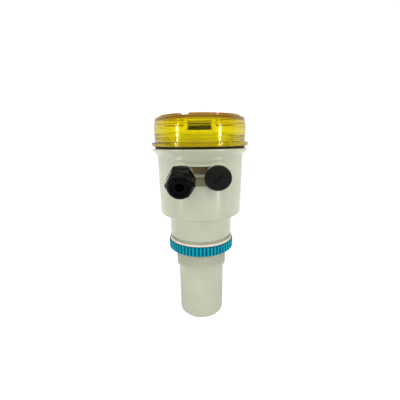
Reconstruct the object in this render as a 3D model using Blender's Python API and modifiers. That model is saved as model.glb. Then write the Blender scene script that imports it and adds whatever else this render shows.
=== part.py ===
"""Compact ultrasonic level sensor: a round plastic housing with a screw-on amber cover, a cable gland and a
blanking plug on one port block, and a threaded probe with a ribbed lock nut.

Frame: metres, +Z up along the sensor's axis, origin in the middle of the probe's flat sound face.
The two cable ports look towards -Y and slope down.
"""
import math

import bmesh
import bpy
from mathutils import Matrix, Vector

# Clearances
GAP = 0.0003  # between faces that touch on the real sensor
RUNNING_GAP = 0.00035  # round a threaded piece that turns
HOLE_CLEARANCE = 0.0003  # round a screw, a key or a pane in its opening

# Probe, from the sound face up
PROBE_RADIUS_LOW = 0.0269
PROBE_DRAFT = 0.0005
PROBE_LENGTH = 0.0635
PROBE_WALL = 0.0032
SOUND_FACE_THICKNESS = 0.0025
SOUND_FACE_FILLET = 0.0024
THREAD_RADIUS = 0.0300
THREAD_LENGTH = 0.0365
THREAD_END_HEIGHT = 0.0018
THREAD_WALL = 0.0036
COLLAR_WIDTH = 0.0033  # past the thread
COLLAR_HEIGHT = 0.0024
SPIGOT_LENGTH = 0.0140

# Lock nut and its sealing gasket
NUT_WIDTH = 0.0087  # from the thread out to the ribs' crests
NUT_HEIGHT = 0.0109
NUT_RIB_COUNT = 58
NUT_RIB_DEPTH = 0.0011
NUT_RIB_SHARE = 0.52
NUT_RIB_FLANK = 0.10
NUT_EDGE_CHAMFER = 0.0007
GASKET_WIDTH = 0.0074  # from the thread out to its rim
GASKET_THICKNESS = 0.0013
GASKET_LIP_HEIGHT = 0.0010
GASKET_LIP_WIDTH = 0.0016

# Housing
NECK_STAND_OUT = 0.0030  # past the collar
NECK_WALL = 0.0043
NECK_LENGTH = 0.0259
NECK_EDGE_FILLET = 0.0036
SHOULDER_HEIGHT = 0.0026
BODY_RADIUS_LOW = 0.04695
BODY_DRAFT = 0.0010
BODY_WALL = 0.0040
BODY_LENGTH = 0.0705
BODY_CORNER_FILLET = 0.0022
COVE_RADIUS = 0.0044
HOUSING_FLANGE_WIDTH = 0.00535
HOUSING_FLANGE_THICKNESS = 0.0017
SEAT_WIDTH = 0.0067  # from the flange's edge in to the mouth
MOUTH_HEIGHT = 0.0149
MOUTH_WALL = 0.0016
MOUTH_RECESS_DEPTH = 0.0048

# Cover and its seal
SEAL_INSET = 0.0031  # from the housing flange's edge
SEAL_THICKNESS = 0.0021
COVER_OVERHANG = 0.0004  # of the cover's flange past the housing's
COVER_FLANGE_THICKNESS = 0.0043
COVER_BORE_CLEARANCE = 0.0007  # round the housing's mouth
COVER_TAPER = 0.0013
COVER_BULGE = 0.0004  # of its side below the sloping shoulder
COVER_TOP_FILLET = 0.0016
COVER_WALL = 0.0031
COVER_TOP_THICKNESS = 0.0026
COVER_HEIGHT = 0.0293
COVER_SLOPE_HEIGHT = 0.0090
COVER_INNER_STEP = 0.0013
COVER_INNER_STEP_HEIGHT = 0.0215
COVER_RIM_INSET = 0.0042
COVER_RIM_WIDTH = 0.0030
COVER_RIM_HEIGHT = 0.0020
COVER_NOTCH_COUNT = 4
COVER_NOTCH_WIDTH = 0.0079
COVER_NOTCH_DEPTH = 0.0018
COVER_NOTCH_ANGLE = math.radians(-108.2)

# Port block: two bosses joined by a bridge, square to the ports' sloping axes
PORT_TILT = math.radians(18.0)
PORT_SPACING = 0.0354
PORT_DROP = 0.0240  # from the housing's flange down to where the ports' axes meet their seats
PORT_STAND_OUT = 0.00405  # of the bosses' seats past the housing's wall
PORT_BOSS_RADIUS = 0.0129
PORT_BORE_RADIUS = 0.0102
BRIDGE_HEIGHT = 0.0220
BRIDGE_SETBACK = 0.0004
BRIDGE_WEB = 0.0011
BRIDGE_POCKET_WIDTH = 0.0200
BRIDGE_POCKET_DEPTH = 0.0044
BRIDGE_RIB_THICKNESS = 0.0024
BRIDGE_RIB_SETBACK = 0.0018

# Cable gland and blanking plug, measured along the port's axis from its seat
PORT_THREAD_RADIUS = 0.0099
PORT_THREAD_LENGTH = 0.0105
WASHER_RADIUS = 0.0119
WASHER_THICKNESS = 0.0015
GLAND_ACROSS_FLATS = 0.0250
GLAND_HEX_HEIGHT = 0.0060
GLAND_BORE_RADIUS = 0.0062
GLAND_MALE_RADIUS = 0.0104
GLAND_MALE_LENGTH = 0.0122
GLAND_CAGE_RADIUS = 0.0078
GLAND_CAGE_DEPTH = 0.0110
GLAND_FINGER_SLOT = 0.0012
GLAND_FINGER_SLOT_DEPTH = 0.0060
GLAND_SLOT_PAIRS = 3
DOME_OPENING = 0.0020  # thread that shows between the two hexagons
DOME_HEX_HEIGHT = 0.0088
DOME_HEIGHT = 0.0155
DOME_BASE_RADIUS = 0.0123
DOME_FRONT_RADIUS = 0.0096
DOME_HOLE_RADIUS = 0.0066
DOME_WALL = 0.0016
INSERT_BORE_RADIUS = 0.0046
INSERT_LENGTH = 0.0130
PLUG_HEAD_RADIUS = 0.0130
PLUG_HEAD_THICKNESS = 0.0034
PLUG_HEAD_FILLET = 0.0010
PLUG_BORE_RADIUS = 0.0072
PLUG_SLOT_WIDTH = 0.0017
PLUG_SLOT_LENGTH = 0.0110
PLUG_SLOT_DEPTH = 0.0018
PLUG_SLOT_ANGLE = math.radians(49.0)

# Face plate with its sloping display console
PLATE_THICKNESS = 0.0025
CONSOLE_WIDTH = 0.0340
CONSOLE_WALL = 0.0012
CONSOLE_TOP_WALL = 0.0022
CONSOLE_TILT = math.radians(25.0)
CONSOLE_FRONT = 0.0302  # distance of its low front edge from the axis, towards the ports
CONSOLE_FRONT_HEIGHT = 0.0046
CONSOLE_LENGTH = 0.0270  # along its sloping top
WINDOW_WIDTH = 0.0240
WINDOW_LENGTH = 0.0193
WINDOW_STEP = 0.0012
PANE_THICKNESS = 0.0008
DISPLAY_WIDTH = 0.0295
DISPLAY_LENGTH = 0.0197
DISPLAY_THICKNESS = 0.0020

# Keys and their switches
KEY_COUNT = 3
KEY_SPACING = 0.0130
KEY_ROW = 0.0065  # behind the axis
KEY_RADIUS = 0.0032
KEY_STAND_OUT = 0.0020
KEY_FLANGE_RADIUS = 0.0042
KEY_FLANGE_THICKNESS = 0.0010
KEY_FOOT_RADIUS = 0.0015
KEY_FOOT_LENGTH = 0.0006
SWITCH_SIZE = 0.0060
SWITCH_HEIGHT = 0.0018
SWITCH_PLUNGER_RADIUS = 0.0016
SWITCH_PLUNGER_HEIGHT = 0.0005

# Boards, their supports and what they carry
BOARD_CLEARANCE = 0.0005  # round the boards
BOARD_THICKNESS = 0.0016
DISPLAY_STANDOFF = 0.0047
BOARD_SPACING = 0.0107
WIRE_NOTCH_WIDTH = 0.0360
WIRE_NOTCH_DEPTH = 0.00945
PILLAR_COUNT = 3
PILLAR_INSET = 0.0031  # of the pillars' centres from the housing's inside
PILLAR_RADIUS = 0.0046
SPACER_RADIUS = 0.0026
SCREW_RADIUS = 0.0013
SCREW_HEAD_RADIUS = 0.0025
SCREW_HEAD_HEIGHT = 0.0018
SCREW_GRIP = 0.0075  # length held in the pillar
SCREW_SLOT_WIDTH = 0.0007
SCREW_SLOT_DEPTH = 0.0008
TERMINAL_COUNT = 6
TERMINAL_PITCH = 0.00508
TERMINAL_DEPTH = 0.0100
TERMINAL_HEIGHT = 0.0102
TERMINAL_SETBACK = 0.0080  # of the terminals' row from the notch
TERMINAL_ENTRY = 0.0034
TERMINAL_SCREW_RADIUS = 0.0017
TERMINAL_SCREW_LENGTH = 0.0022
TERMINAL_SCREW_SUNK = 0.0005
TRANSFORMER_RADIUS = 0.0085
TRANSFORMER_WAIST_DEPTH = 0.0012
TRANSFORMER_HEIGHT = 0.0090
TRANSFORMER_PLACE = (-0.0150, -0.0080)
CAPACITOR_RADIUS = 0.0040
CAPACITOR_HEIGHT = 0.0085
CAPACITOR_PLACES = ((0.0080, -0.0200), (0.0180, -0.0200))
HEADER_LENGTH = 0.0254
HEADER_DEPTH = 0.0050
HEADER_ROW = 0.0160  # behind the axis

# Transducer inside the probe, from the sound face up
TRANSDUCER_SPACE = 0.0052  # round the matching disc and the damping block
MATCHING_THICKNESS = 0.0025
PIEZO_INSET = 0.0010
PIEZO_THICKNESS = 0.0080
BACKING_THICKNESS = 0.0180
POTTING_THICKNESS = 0.0200
SENSOR_RADIUS = 0.0017
SENSOR_LENGTH = 0.0120
LEAD_RADIUS = 0.0016
LEAD_POINTS = 25
LEAD_PLUG_SIZE = (0.0080, 0.0060, 0.0050)
LEAD_PLUG_PLACE = (0.0240, 0.0080)
LEAD_START = (0.0060, 0.0040)

# Fineness of round pieces
STEPS_LARGE = 48
STEPS_MEDIUM = 28
STEPS_SMALL = 12
ARC_STEPS = 2
SMOOTH_ANGLE = math.radians(32.0)

# Radii and reaches that follow from the sizes above
PROBE_RADIUS_HIGH = PROBE_RADIUS_LOW + PROBE_DRAFT
PROBE_BORE_LOW = PROBE_RADIUS_LOW - PROBE_WALL
TRANSDUCER_RADIUS = PROBE_BORE_LOW - TRANSDUCER_SPACE
SENSOR_PLACE = PROBE_BORE_LOW - TRANSDUCER_SPACE / 2
COLLAR_RADIUS = THREAD_RADIUS + COLLAR_WIDTH
NUT_RADIUS = THREAD_RADIUS + NUT_WIDTH
GASKET_RADIUS = THREAD_RADIUS + GASKET_WIDTH
NECK_RADIUS = COLLAR_RADIUS + NECK_STAND_OUT
BODY_RADIUS_HIGH = BODY_RADIUS_LOW + BODY_DRAFT
ROOM_RADIUS_LOW = BODY_RADIUS_LOW - BODY_WALL
HOUSING_FLANGE_RADIUS = BODY_RADIUS_HIGH + HOUSING_FLANGE_WIDTH
MOUTH_RADIUS = HOUSING_FLANGE_RADIUS - SEAT_WIDTH
MOUTH_RECESS_RADIUS = MOUTH_RADIUS - MOUTH_WALL
SEAL_RADIUS = HOUSING_FLANGE_RADIUS - SEAL_INSET
COVER_FLANGE_RADIUS = HOUSING_FLANGE_RADIUS + COVER_OVERHANG
COVER_RADIUS = MOUTH_RADIUS + COVER_BORE_CLEARANCE + COVER_WALL
COVER_TOP_RADIUS = COVER_RADIUS - COVER_TAPER
COVER_RIM_RADIUS = COVER_TOP_RADIUS - COVER_RIM_INSET
PORT_SEAT_REACH = BODY_RADIUS_LOW + PORT_STAND_OUT
BOARD_RADIUS = ROOM_RADIUS_LOW - BOARD_CLEARANCE
PILLAR_RING_RADIUS = ROOM_RADIUS_LOW - PILLAR_INSET
WIRE_NOTCH_START = BOARD_RADIUS - WIRE_NOTCH_DEPTH
TERMINAL_ROW = WIRE_NOTCH_START - TERMINAL_SETBACK

# Heights that follow from the sizes above
Z_COLLAR = PROBE_LENGTH + THREAD_LENGTH
Z_NECK = Z_COLLAR + COLLAR_HEIGHT + GAP
Z_SHOULDER = Z_NECK + NECK_LENGTH
Z_BODY = Z_SHOULDER + SHOULDER_HEIGHT
Z_FLANGE = Z_BODY + BODY_LENGTH
Z_SEAT = Z_FLANGE + HOUSING_FLANGE_THICKNESS
Z_MOUTH = Z_SEAT + MOUTH_HEIGHT
Z_LEDGE = Z_MOUTH - MOUTH_RECESS_DEPTH
Z_COVER = Z_SEAT + SEAL_THICKNESS + 2 * GAP
Z_COVER_TOP = Z_COVER + COVER_HEIGHT
Z_GASKET_TOP = Z_COLLAR - GAP
Z_NUT_TOP = Z_GASKET_TOP - GASKET_THICKNESS - GAP
Z_PLATE = Z_LEDGE + GAP
Z_PLATE_TOP = Z_PLATE + PLATE_THICKNESS
Z_SPACER_HIGH = Z_PLATE - GAP - DISPLAY_STANDOFF
Z_DISPLAY_BOARD = Z_SPACER_HIGH - GAP - BOARD_THICKNESS
Z_SPACER_LOW = Z_DISPLAY_BOARD - GAP - BOARD_SPACING
Z_MAIN_BOARD = Z_SPACER_LOW - GAP - BOARD_THICKNESS
Z_PILLAR_TOP = Z_MAIN_BOARD - GAP
Z_PORT = Z_FLANGE - PORT_DROP

# Places along a port's axis that follow from the sizes above
HEX_BACK = WASHER_THICKNESS + 2 * GAP
HEX_FRONT = HEX_BACK + GLAND_HEX_HEIGHT
DOME_BACK = HEX_FRONT + DOME_OPENING
DOME_HEX_FRONT = DOME_BACK + DOME_HEX_HEIGHT
DOME_FRONT = DOME_BACK + DOME_HEIGHT
MALE_FRONT = HEX_FRONT + GLAND_MALE_LENGTH
CAGE_BACK = MALE_FRONT - GLAND_CAGE_DEPTH

PARTS_NAME = "ultrasonic_level_sensor"
CUTTERS_NAME = "cutters_and_guides"


def clear_scene():
    """Remove whatever the open file holds."""
    for item in list(bpy.data.objects):
        bpy.data.objects.remove(item, do_unlink=True)


def new_collection(name):
    """A collection linked to the scene."""
    group = bpy.data.collections.new(name)
    bpy.context.scene.collection.children.link(group)
    return group


def new_material(name, colour, roughness, metallic=0.0, transmission=0.0):
    """A Principled BSDF material."""
    made = bpy.data.materials.new(name)
    made.use_nodes = True
    made.diffuse_color = (*colour, 1.0)
    shader = made.node_tree.nodes["Principled BSDF"]
    shader.inputs["Base Color"].default_value = (*colour, 1.0)
    shader.inputs["Roughness"].default_value = roughness
    shader.inputs["Metallic"].default_value = metallic
    shader.inputs["Transmission Weight"].default_value = transmission
    return made


def add_object(name, mesh, parent=None, place=(0.0, 0.0, 0.0), turn=(0.0, 0.0, 0.0)):
    """An object of a mesh or a curve in the parts collection, in its parent's frame."""
    thing = bpy.data.objects.new(name, mesh)
    bpy.data.collections[PARTS_NAME].objects.link(thing)
    thing.location = place
    thing.rotation_euler = turn
    thing.parent = parent
    return thing


def as_cutter(thing):
    """Keep an object for Boolean modifiers only, out of the model."""
    bpy.data.collections[PARTS_NAME].objects.unlink(thing)
    bpy.data.collections[CUTTERS_NAME].objects.link(thing)
    thing.hide_render = True
    thing.display_type = "WIRE"
    return thing


def guide(name, place, turn):
    """An empty that marks an axis."""
    return as_cutter(add_object(name, None, None, place, turn))


def rounded(corners):
    """A profile's points from its corners (r, z) or (r, z, fillet), with arcs in place of the filleted ones."""
    points = []
    last = len(corners) - 1
    for index, corner in enumerate(corners):
        here = Vector(corner[:2])
        fillet = corner[2] if len(corner) > 2 else 0.0
        if fillet == 0.0 or index in (0, last):
            points.append(tuple(here))
            continue
        back = (Vector(corners[index - 1][:2]) - here).normalized()
        ahead = (Vector(corners[index + 1][:2]) - here).normalized()
        half = back.angle(ahead) / 2
        centre = here + (back + ahead).normalized() * fillet / math.sin(half)
        start = here + back * fillet / math.tan(half) - centre
        end = here + ahead * fillet / math.tan(half) - centre
        sweep = start.angle_signed(end)
        for step in range(ARC_STEPS + 1):
            spoke = Matrix.Rotation(-sweep * step / ARC_STEPS, 2) @ start
            points.append(tuple(centre + spoke))
    return points


def turned(name, corners, steps, parent=None, place=(0.0, 0.0, 0.0), ring=False):
    """A piece turned about its own Z axis; ring closes the profile where it doesn't start and end on the axis."""
    points = rounded(corners)
    edges = [(i, i + 1) for i in range(len(points) - 1)]
    if ring:
        edges.append((len(points) - 1, 0))
    mesh = bpy.data.meshes.new(name)
    mesh.from_pydata([(r, 0.0, z) for r, z in points], edges, [])
    thing = add_object(name, mesh, parent, place)
    screw = thing.modifiers.new("turn", "SCREW")
    screw.steps = steps
    screw.render_steps = steps
    screw.use_merge_vertices = True
    screw.merge_threshold = 0.00001
    return thing


def rod(name, radius, low, high, sides, parent=None, place=(0.0, 0.0)):
    """A cylinder or a regular prism between two heights, with a corner on its own X axis."""
    shape = bmesh.new()
    bmesh.ops.create_cone(shape, cap_ends=True, segments=sides, radius1=radius, radius2=radius, depth=high - low)
    bmesh.ops.rotate(shape, verts=shape.verts, matrix=Matrix.Rotation(math.radians(90.0), 3, "Z"))
    bmesh.ops.translate(shape, verts=shape.verts, vec=(0.0, 0.0, (low + high) / 2))
    mesh = bpy.data.meshes.new(name)
    shape.to_mesh(mesh)
    shape.free()
    return add_object(name, mesh, parent, (*place, 0.0))


def block(name, low, high, parent=None, place=(0.0, 0.0, 0.0), turn=(0.0, 0.0, 0.0)):
    """A box between two corners of its own frame."""
    shape = bmesh.new()
    bmesh.ops.create_cube(shape, size=1.0)
    size = Vector(high) - Vector(low)
    bmesh.ops.scale(shape, verts=shape.verts, vec=size)
    bmesh.ops.translate(shape, verts=shape.verts, vec=(Vector(low) + Vector(high)) / 2)
    mesh = bpy.data.meshes.new(name)
    shape.to_mesh(mesh)
    shape.free()
    return add_object(name, mesh, parent, place, turn)


def outline(name, rings, thickness, place=(0.0, 0.0, 0.0), turn=(0.0, 0.0, 0.0)):
    """A flat outline with its holes, extruded both ways from its own XY plane, as a mesh."""
    curve = bpy.data.curves.new(name, "CURVE")
    curve.dimensions = "2D"
    curve.fill_mode = "BOTH"
    curve.extrude = thickness / 2
    for ring in rings:
        spline = curve.splines.new("POLY")
        spline.points.add(len(ring) - 1)
        for point, (x, y) in zip(spline.points, ring):
            point.co = (x, y, 0.0, 1.0)
        spline.use_cyclic_u = True
    return curve_to_mesh(add_object(name, curve, None, place, turn))


def curve_to_mesh(thing):
    """Take the place of a curve object by a mesh of it with welded caps."""
    bpy.context.view_layer.update()
    mesh = bpy.data.meshes.new_from_object(thing.evaluated_get(bpy.context.evaluated_depsgraph_get()))
    shape = bmesh.new()
    shape.from_mesh(mesh)
    bmesh.ops.remove_doubles(shape, verts=shape.verts, dist=0.000001)
    bmesh.ops.recalc_face_normals(shape, faces=shape.faces)
    shape.to_mesh(mesh)
    shape.free()
    name = thing.name
    matrix = thing.matrix_world.copy()
    bpy.data.objects.remove(thing, do_unlink=True)
    solid = add_object(name, mesh)
    solid.matrix_world = matrix
    return solid


def combine(thing, other, operation):
    """Join or cut an object with another, which becomes a cutter."""
    step = thing.modifiers.new(operation.lower(), "BOOLEAN")
    step.operation = operation
    step.solver = "EXACT"
    step.object = as_cutter(other)
    return thing


def chamfer(thing, width, limit=math.radians(40.0)):
    """Bevel the edges sharper than the limit."""
    step = thing.modifiers.new("edges", "BEVEL")
    step.width = width
    step.segments = 1
    step.limit_method = "ANGLE"
    step.angle_limit = limit
    return thing


def settle(thing, material):
    """Fix the piece's mesh as modelled, with its material and smooth shading on its round faces."""
    bpy.context.view_layer.update()
    mesh = bpy.data.meshes.new_from_object(thing.evaluated_get(bpy.context.evaluated_depsgraph_get()))
    thing.modifiers.clear()
    thing.data = mesh
    mesh.name = thing.name
    mesh.materials.clear()
    mesh.materials.append(material)
    mesh.shade_smooth()
    mesh.set_sharp_from_angle(angle=SMOOTH_ANGLE)
    return thing


def ring_points(radius, count, start=0.0):
    """Points spaced evenly round a circle."""
    angles = [start + 2 * math.pi * i / count for i in range(count)]
    return [(radius * math.cos(a), radius * math.sin(a)) for a in angles]


def make_probe_shell():
    """One moulding: sound face, probe, threaded shank, collar and the spigot glued into the housing's neck."""
    spigot_radius = NECK_RADIUS - NECK_WALL - GAP
    bore_high = THREAD_RADIUS - THREAD_WALL
    z_top = Z_NECK + SPIGOT_LENGTH
    z_thread_end = PROBE_LENGTH + THREAD_END_HEIGHT
    corners = [
        (0.0, SOUND_FACE_THICKNESS),
        (PROBE_BORE_LOW, SOUND_FACE_THICKNESS),
        (PROBE_BORE_LOW + PROBE_DRAFT, PROBE_LENGTH),
        (bore_high, z_thread_end),
        (bore_high, z_top),
        (spigot_radius, z_top),
        (spigot_radius, Z_COLLAR + COLLAR_HEIGHT),
        (COLLAR_RADIUS, Z_COLLAR + COLLAR_HEIGHT),
        (COLLAR_RADIUS, Z_COLLAR),
        (THREAD_RADIUS, Z_COLLAR),
        (THREAD_RADIUS, z_thread_end, THREAD_END_HEIGHT * 0.3),
        (PROBE_RADIUS_HIGH, PROBE_LENGTH),
        (PROBE_RADIUS_LOW, SOUND_FACE_FILLET * 1.5),
        (PROBE_RADIUS_LOW, 0.0, SOUND_FACE_FILLET),
        (0.0, 0.0),
    ]
    return turned("probe_shell", corners, STEPS_LARGE)


def make_lock_nut():
    """Ribbed ring nut; its outline runs rib by rib round the grip."""
    pitch = 2 * math.pi / NUT_RIB_COUNT
    valley = NUT_RADIUS - NUT_RIB_DEPTH
    half_crest = pitch * NUT_RIB_SHARE / 2
    flank = pitch * NUT_RIB_FLANK
    grip = []
    for index in range(NUT_RIB_COUNT):
        middle = index * pitch
        for radius, offset in (
            (valley, -half_crest - flank),
            (NUT_RADIUS, -half_crest),
            (NUT_RADIUS, half_crest),
            (valley, half_crest + flank),
        ):
            grip.append((radius * math.cos(middle + offset), radius * math.sin(middle + offset)))
    bore = ring_points(THREAD_RADIUS + RUNNING_GAP, STEPS_LARGE)
    nut = outline("lock_nut", (grip, bore), NUT_HEIGHT, (0.0, 0.0, Z_NUT_TOP - NUT_HEIGHT / 2))
    return chamfer(nut, NUT_EDGE_CHAMFER, math.radians(75.0))


def make_sealing_gasket():
    """Cream gasket between the collar and the nut, with a raised lip round its edge."""
    bore = THREAD_RADIUS + RUNNING_GAP
    z_low = Z_GASKET_TOP - GASKET_THICKNESS
    z_lip = Z_GASKET_TOP + GASKET_LIP_HEIGHT
    inner_lip = GASKET_RADIUS - GASKET_LIP_WIDTH
    corners = [
        (bore, Z_GASKET_TOP),
        (inner_lip, Z_GASKET_TOP),
        (inner_lip, z_lip),
        (GASKET_RADIUS, z_lip, GASKET_LIP_WIDTH * 0.4),
        (GASKET_RADIUS, z_low),
        (bore, z_low),
    ]
    return turned("sealing_gasket", corners, STEPS_LARGE, ring=True)


def port_guides():
    """Axes of the two ports, each with +Z pointing out of the housing along the port."""
    turn = (math.radians(90.0) + PORT_TILT, 0.0, 0.0)
    half = PORT_SPACING / 2
    return (
        guide("gland_port_axis", (-half, -PORT_SEAT_REACH, Z_PORT), turn),
        guide("plug_port_axis", (half, -PORT_SEAT_REACH, Z_PORT), turn),
    )


def housing_outside():
    """The housing's outer form as a full body, from the mouth down to the neck."""
    corners = [
        (0.0, Z_MOUTH),
        (MOUTH_RADIUS, Z_MOUTH),
        (MOUTH_RADIUS, Z_SEAT),
        (HOUSING_FLANGE_RADIUS, Z_SEAT),
        (HOUSING_FLANGE_RADIUS, Z_FLANGE, HOUSING_FLANGE_THICKNESS * 0.4),
        (HOUSING_FLANGE_RADIUS - HOUSING_FLANGE_THICKNESS * 0.5, Z_FLANGE),
        (BODY_RADIUS_HIGH, Z_FLANGE - COVE_RADIUS * 1.1, COVE_RADIUS),
        (BODY_RADIUS_HIGH, Z_FLANGE - COVE_RADIUS * 2.2),
        (BODY_RADIUS_LOW, Z_BODY, BODY_CORNER_FILLET),
        (NECK_RADIUS, Z_SHOULDER),
        (NECK_RADIUS, Z_NECK, NECK_EDGE_FILLET),
        (0.0, Z_NECK),
    ]
    return turned("housing", corners, STEPS_LARGE)


def housing_cavity():
    """The space inside the housing: mouth recess, straight room with the wall's draft, cone and neck bore."""
    room_high = BODY_RADIUS_HIGH - BODY_WALL
    neck_bore = NECK_RADIUS - NECK_WALL
    corners = [
        (0.0, Z_MOUTH + BODY_WALL),
        (MOUTH_RECESS_RADIUS, Z_MOUTH + BODY_WALL),
        (MOUTH_RECESS_RADIUS, Z_LEDGE),
        (room_high, Z_LEDGE),
        (room_high, Z_FLANGE),
        (ROOM_RADIUS_LOW, Z_BODY + BODY_WALL, BODY_CORNER_FILLET),
        (neck_bore, Z_SHOULDER + BODY_WALL),
        (neck_bore, Z_NECK - BODY_WALL),
        (0.0, Z_NECK - BODY_WALL),
    ]
    cavity = turned("housing_cavity", corners, STEPS_LARGE)
    cavity.rotation_euler.z = math.pi / STEPS_LARGE  # half a facet, so that no edge falls on one of the outside
    return cavity


def make_housing(ports):
    """One moulding: turned body, port block with its bored bosses and pocketed bridge, and inner pillars."""
    housing = housing_outside()
    half = PORT_SPACING / 2
    reach = PORT_SEAT_REACH - BODY_RADIUS_LOW + BODY_WALL
    tilt = ports[0].rotation_euler
    seat = (0.0, -PORT_SEAT_REACH, Z_PORT)
    bridge_low = (-half, -BRIDGE_HEIGHT / 2, -reach)
    bridge_high = (half, BRIDGE_HEIGHT / 2, -BRIDGE_SETBACK)
    bridge = block("bridge", bridge_low, bridge_high, None, seat, tilt)
    combine(housing, bridge, "UNION")
    pocket_half = BRIDGE_HEIGHT / 2 - BRIDGE_WEB
    pocket = block(
        "bridge_pocket",
        (-BRIDGE_POCKET_WIDTH / 2, -PORT_SEAT_REACH - BRIDGE_HEIGHT, Z_PORT - pocket_half),
        (BRIDGE_POCKET_WIDTH / 2, BRIDGE_POCKET_DEPTH - PORT_SEAT_REACH, Z_PORT + pocket_half),
    )
    combine(housing, pocket, "DIFFERENCE")
    rib = block(
        "bridge_rib",
        (-BRIDGE_POCKET_WIDTH / 2, -BRIDGE_RIB_THICKNESS / 2, -reach),
        (BRIDGE_POCKET_WIDTH / 2, BRIDGE_RIB_THICKNESS / 2, -BRIDGE_RIB_SETBACK),
        None,
        seat,
        tilt,
    )
    combine(housing, rib, "UNION")
    for index, port in enumerate(ports):
        boss = rod(f"port_boss_{index}", PORT_BOSS_RADIUS, -reach - PORT_THREAD_LENGTH, 0.0, STEPS_MEDIUM, port)
        combine(housing, boss, "UNION")
    combine(housing, housing_cavity(), "DIFFERENCE")
    for index, place in enumerate(pillar_places()):
        pillar = rod(f"pillar_{index}", PILLAR_RADIUS, pillar_foot(), Z_PILLAR_TOP, STEPS_SMALL, None, place)
        combine(housing, pillar, "UNION")
        z_hole = Z_PILLAR_TOP - SCREW_GRIP - 2 * GAP
        hole_radius = SCREW_RADIUS + HOLE_CLEARANCE
        hole = rod(f"pillar_hole_{index}", hole_radius, z_hole, Z_PILLAR_TOP + GAP, STEPS_SMALL, None, place)
        combine(housing, hole, "DIFFERENCE")
    bore_end = PORT_SEAT_REACH / 2
    for index, port in enumerate(ports):
        bore = rod(f"port_bore_{index}", PORT_BORE_RADIUS, -bore_end, PORT_BOSS_RADIUS, STEPS_MEDIUM, port)
        combine(housing, bore, "DIFFERENCE")
    return housing


def pillar_foot():
    """Level just inside the cone's wall at the pillars' inner side, or at the cone's foot where they pass it."""
    neck_bore = NECK_RADIUS - NECK_WALL
    share = (PILLAR_RING_RADIUS - PILLAR_RADIUS - neck_bore) / (ROOM_RADIUS_LOW - neck_bore)
    return Z_SHOULDER + BODY_WALL + max(share, 0.0) * SHOULDER_HEIGHT - BODY_WALL * 0.12


def pillar_places():
    """Centres of the inner pillars; one stands between the two ports."""
    return ring_points(PILLAR_RING_RADIUS, PILLAR_COUNT, math.radians(-90.0))


def make_cover():
    """Amber screw-on cover: a cap with a flange, a sloping shoulder and a notched rim on its top."""
    bore = MOUTH_RADIUS + COVER_BORE_CLEARANCE
    z_inside = Z_COVER_TOP - COVER_TOP_THICKNESS
    z_slope = Z_COVER_TOP - COVER_SLOPE_HEIGHT
    z_step = Z_COVER + COVER_INNER_STEP_HEIGHT
    rim_inner = COVER_RIM_RADIUS - COVER_RIM_WIDTH
    z_rim = Z_COVER_TOP + COVER_RIM_HEIGHT
    corners = [
        (0.0, Z_COVER_TOP),
        (rim_inner, Z_COVER_TOP),
        (rim_inner, z_rim),
        (COVER_RIM_RADIUS, z_rim),
        (COVER_RIM_RADIUS, Z_COVER_TOP),
        (COVER_TOP_RADIUS, Z_COVER_TOP, COVER_TOP_FILLET * 0.5),
        (COVER_RADIUS + COVER_BULGE, z_slope),
        (COVER_RADIUS, Z_COVER + COVER_FLANGE_THICKNESS),
        (COVER_FLANGE_RADIUS, Z_COVER + COVER_FLANGE_THICKNESS, COVER_FLANGE_THICKNESS * 0.2),
        (COVER_FLANGE_RADIUS, Z_COVER, COVER_FLANGE_THICKNESS * 0.2),
        (bore, Z_COVER),
        (bore, z_step),
        (bore - COVER_INNER_STEP, z_step),
        (bore - COVER_INNER_STEP, z_inside, COVER_TOP_FILLET),
        (0.0, z_inside),
    ]
    cover = turned("cover", corners, STEPS_LARGE)
    middle = COVER_RIM_RADIUS - COVER_RIM_WIDTH / 2
    for index in range(COVER_NOTCH_COUNT):
        angle = COVER_NOTCH_ANGLE + 2 * math.pi * index / COVER_NOTCH_COUNT
        notch = block(
            f"cover_notch_{index}",
            (middle - COVER_RIM_WIDTH, -COVER_NOTCH_WIDTH / 2, z_rim - COVER_NOTCH_DEPTH),
            (middle + COVER_RIM_WIDTH, COVER_NOTCH_WIDTH / 2, z_rim + COVER_NOTCH_DEPTH),
            turn=(0.0, 0.0, angle),
        )
        combine(cover, notch, "DIFFERENCE")
    return cover


def make_cover_seal():
    """Flat black seal between the two flanges."""
    inner = MOUTH_RADIUS + GAP
    z_low = Z_SEAT + GAP
    z_high = z_low + SEAL_THICKNESS
    corners = [(inner, z_high), (SEAL_RADIUS, z_high), (SEAL_RADIUS, z_low), (inner, z_low)]
    return turned("cover_seal", corners, STEPS_LARGE, ring=True)


def make_washer(name, port):
    """Rubber washer under a fitting's head."""
    inner = PORT_THREAD_RADIUS + GAP
    corners = [
        (inner, GAP + WASHER_THICKNESS),
        (WASHER_RADIUS, GAP + WASHER_THICKNESS),
        (WASHER_RADIUS, GAP),
        (inner, GAP),
    ]
    return turned(name, corners, STEPS_MEDIUM, port, ring=True)


def hex_radius(across_flats):
    """Distance of a hexagon's corners from its centre."""
    return across_flats / math.sqrt(3.0)


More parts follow.
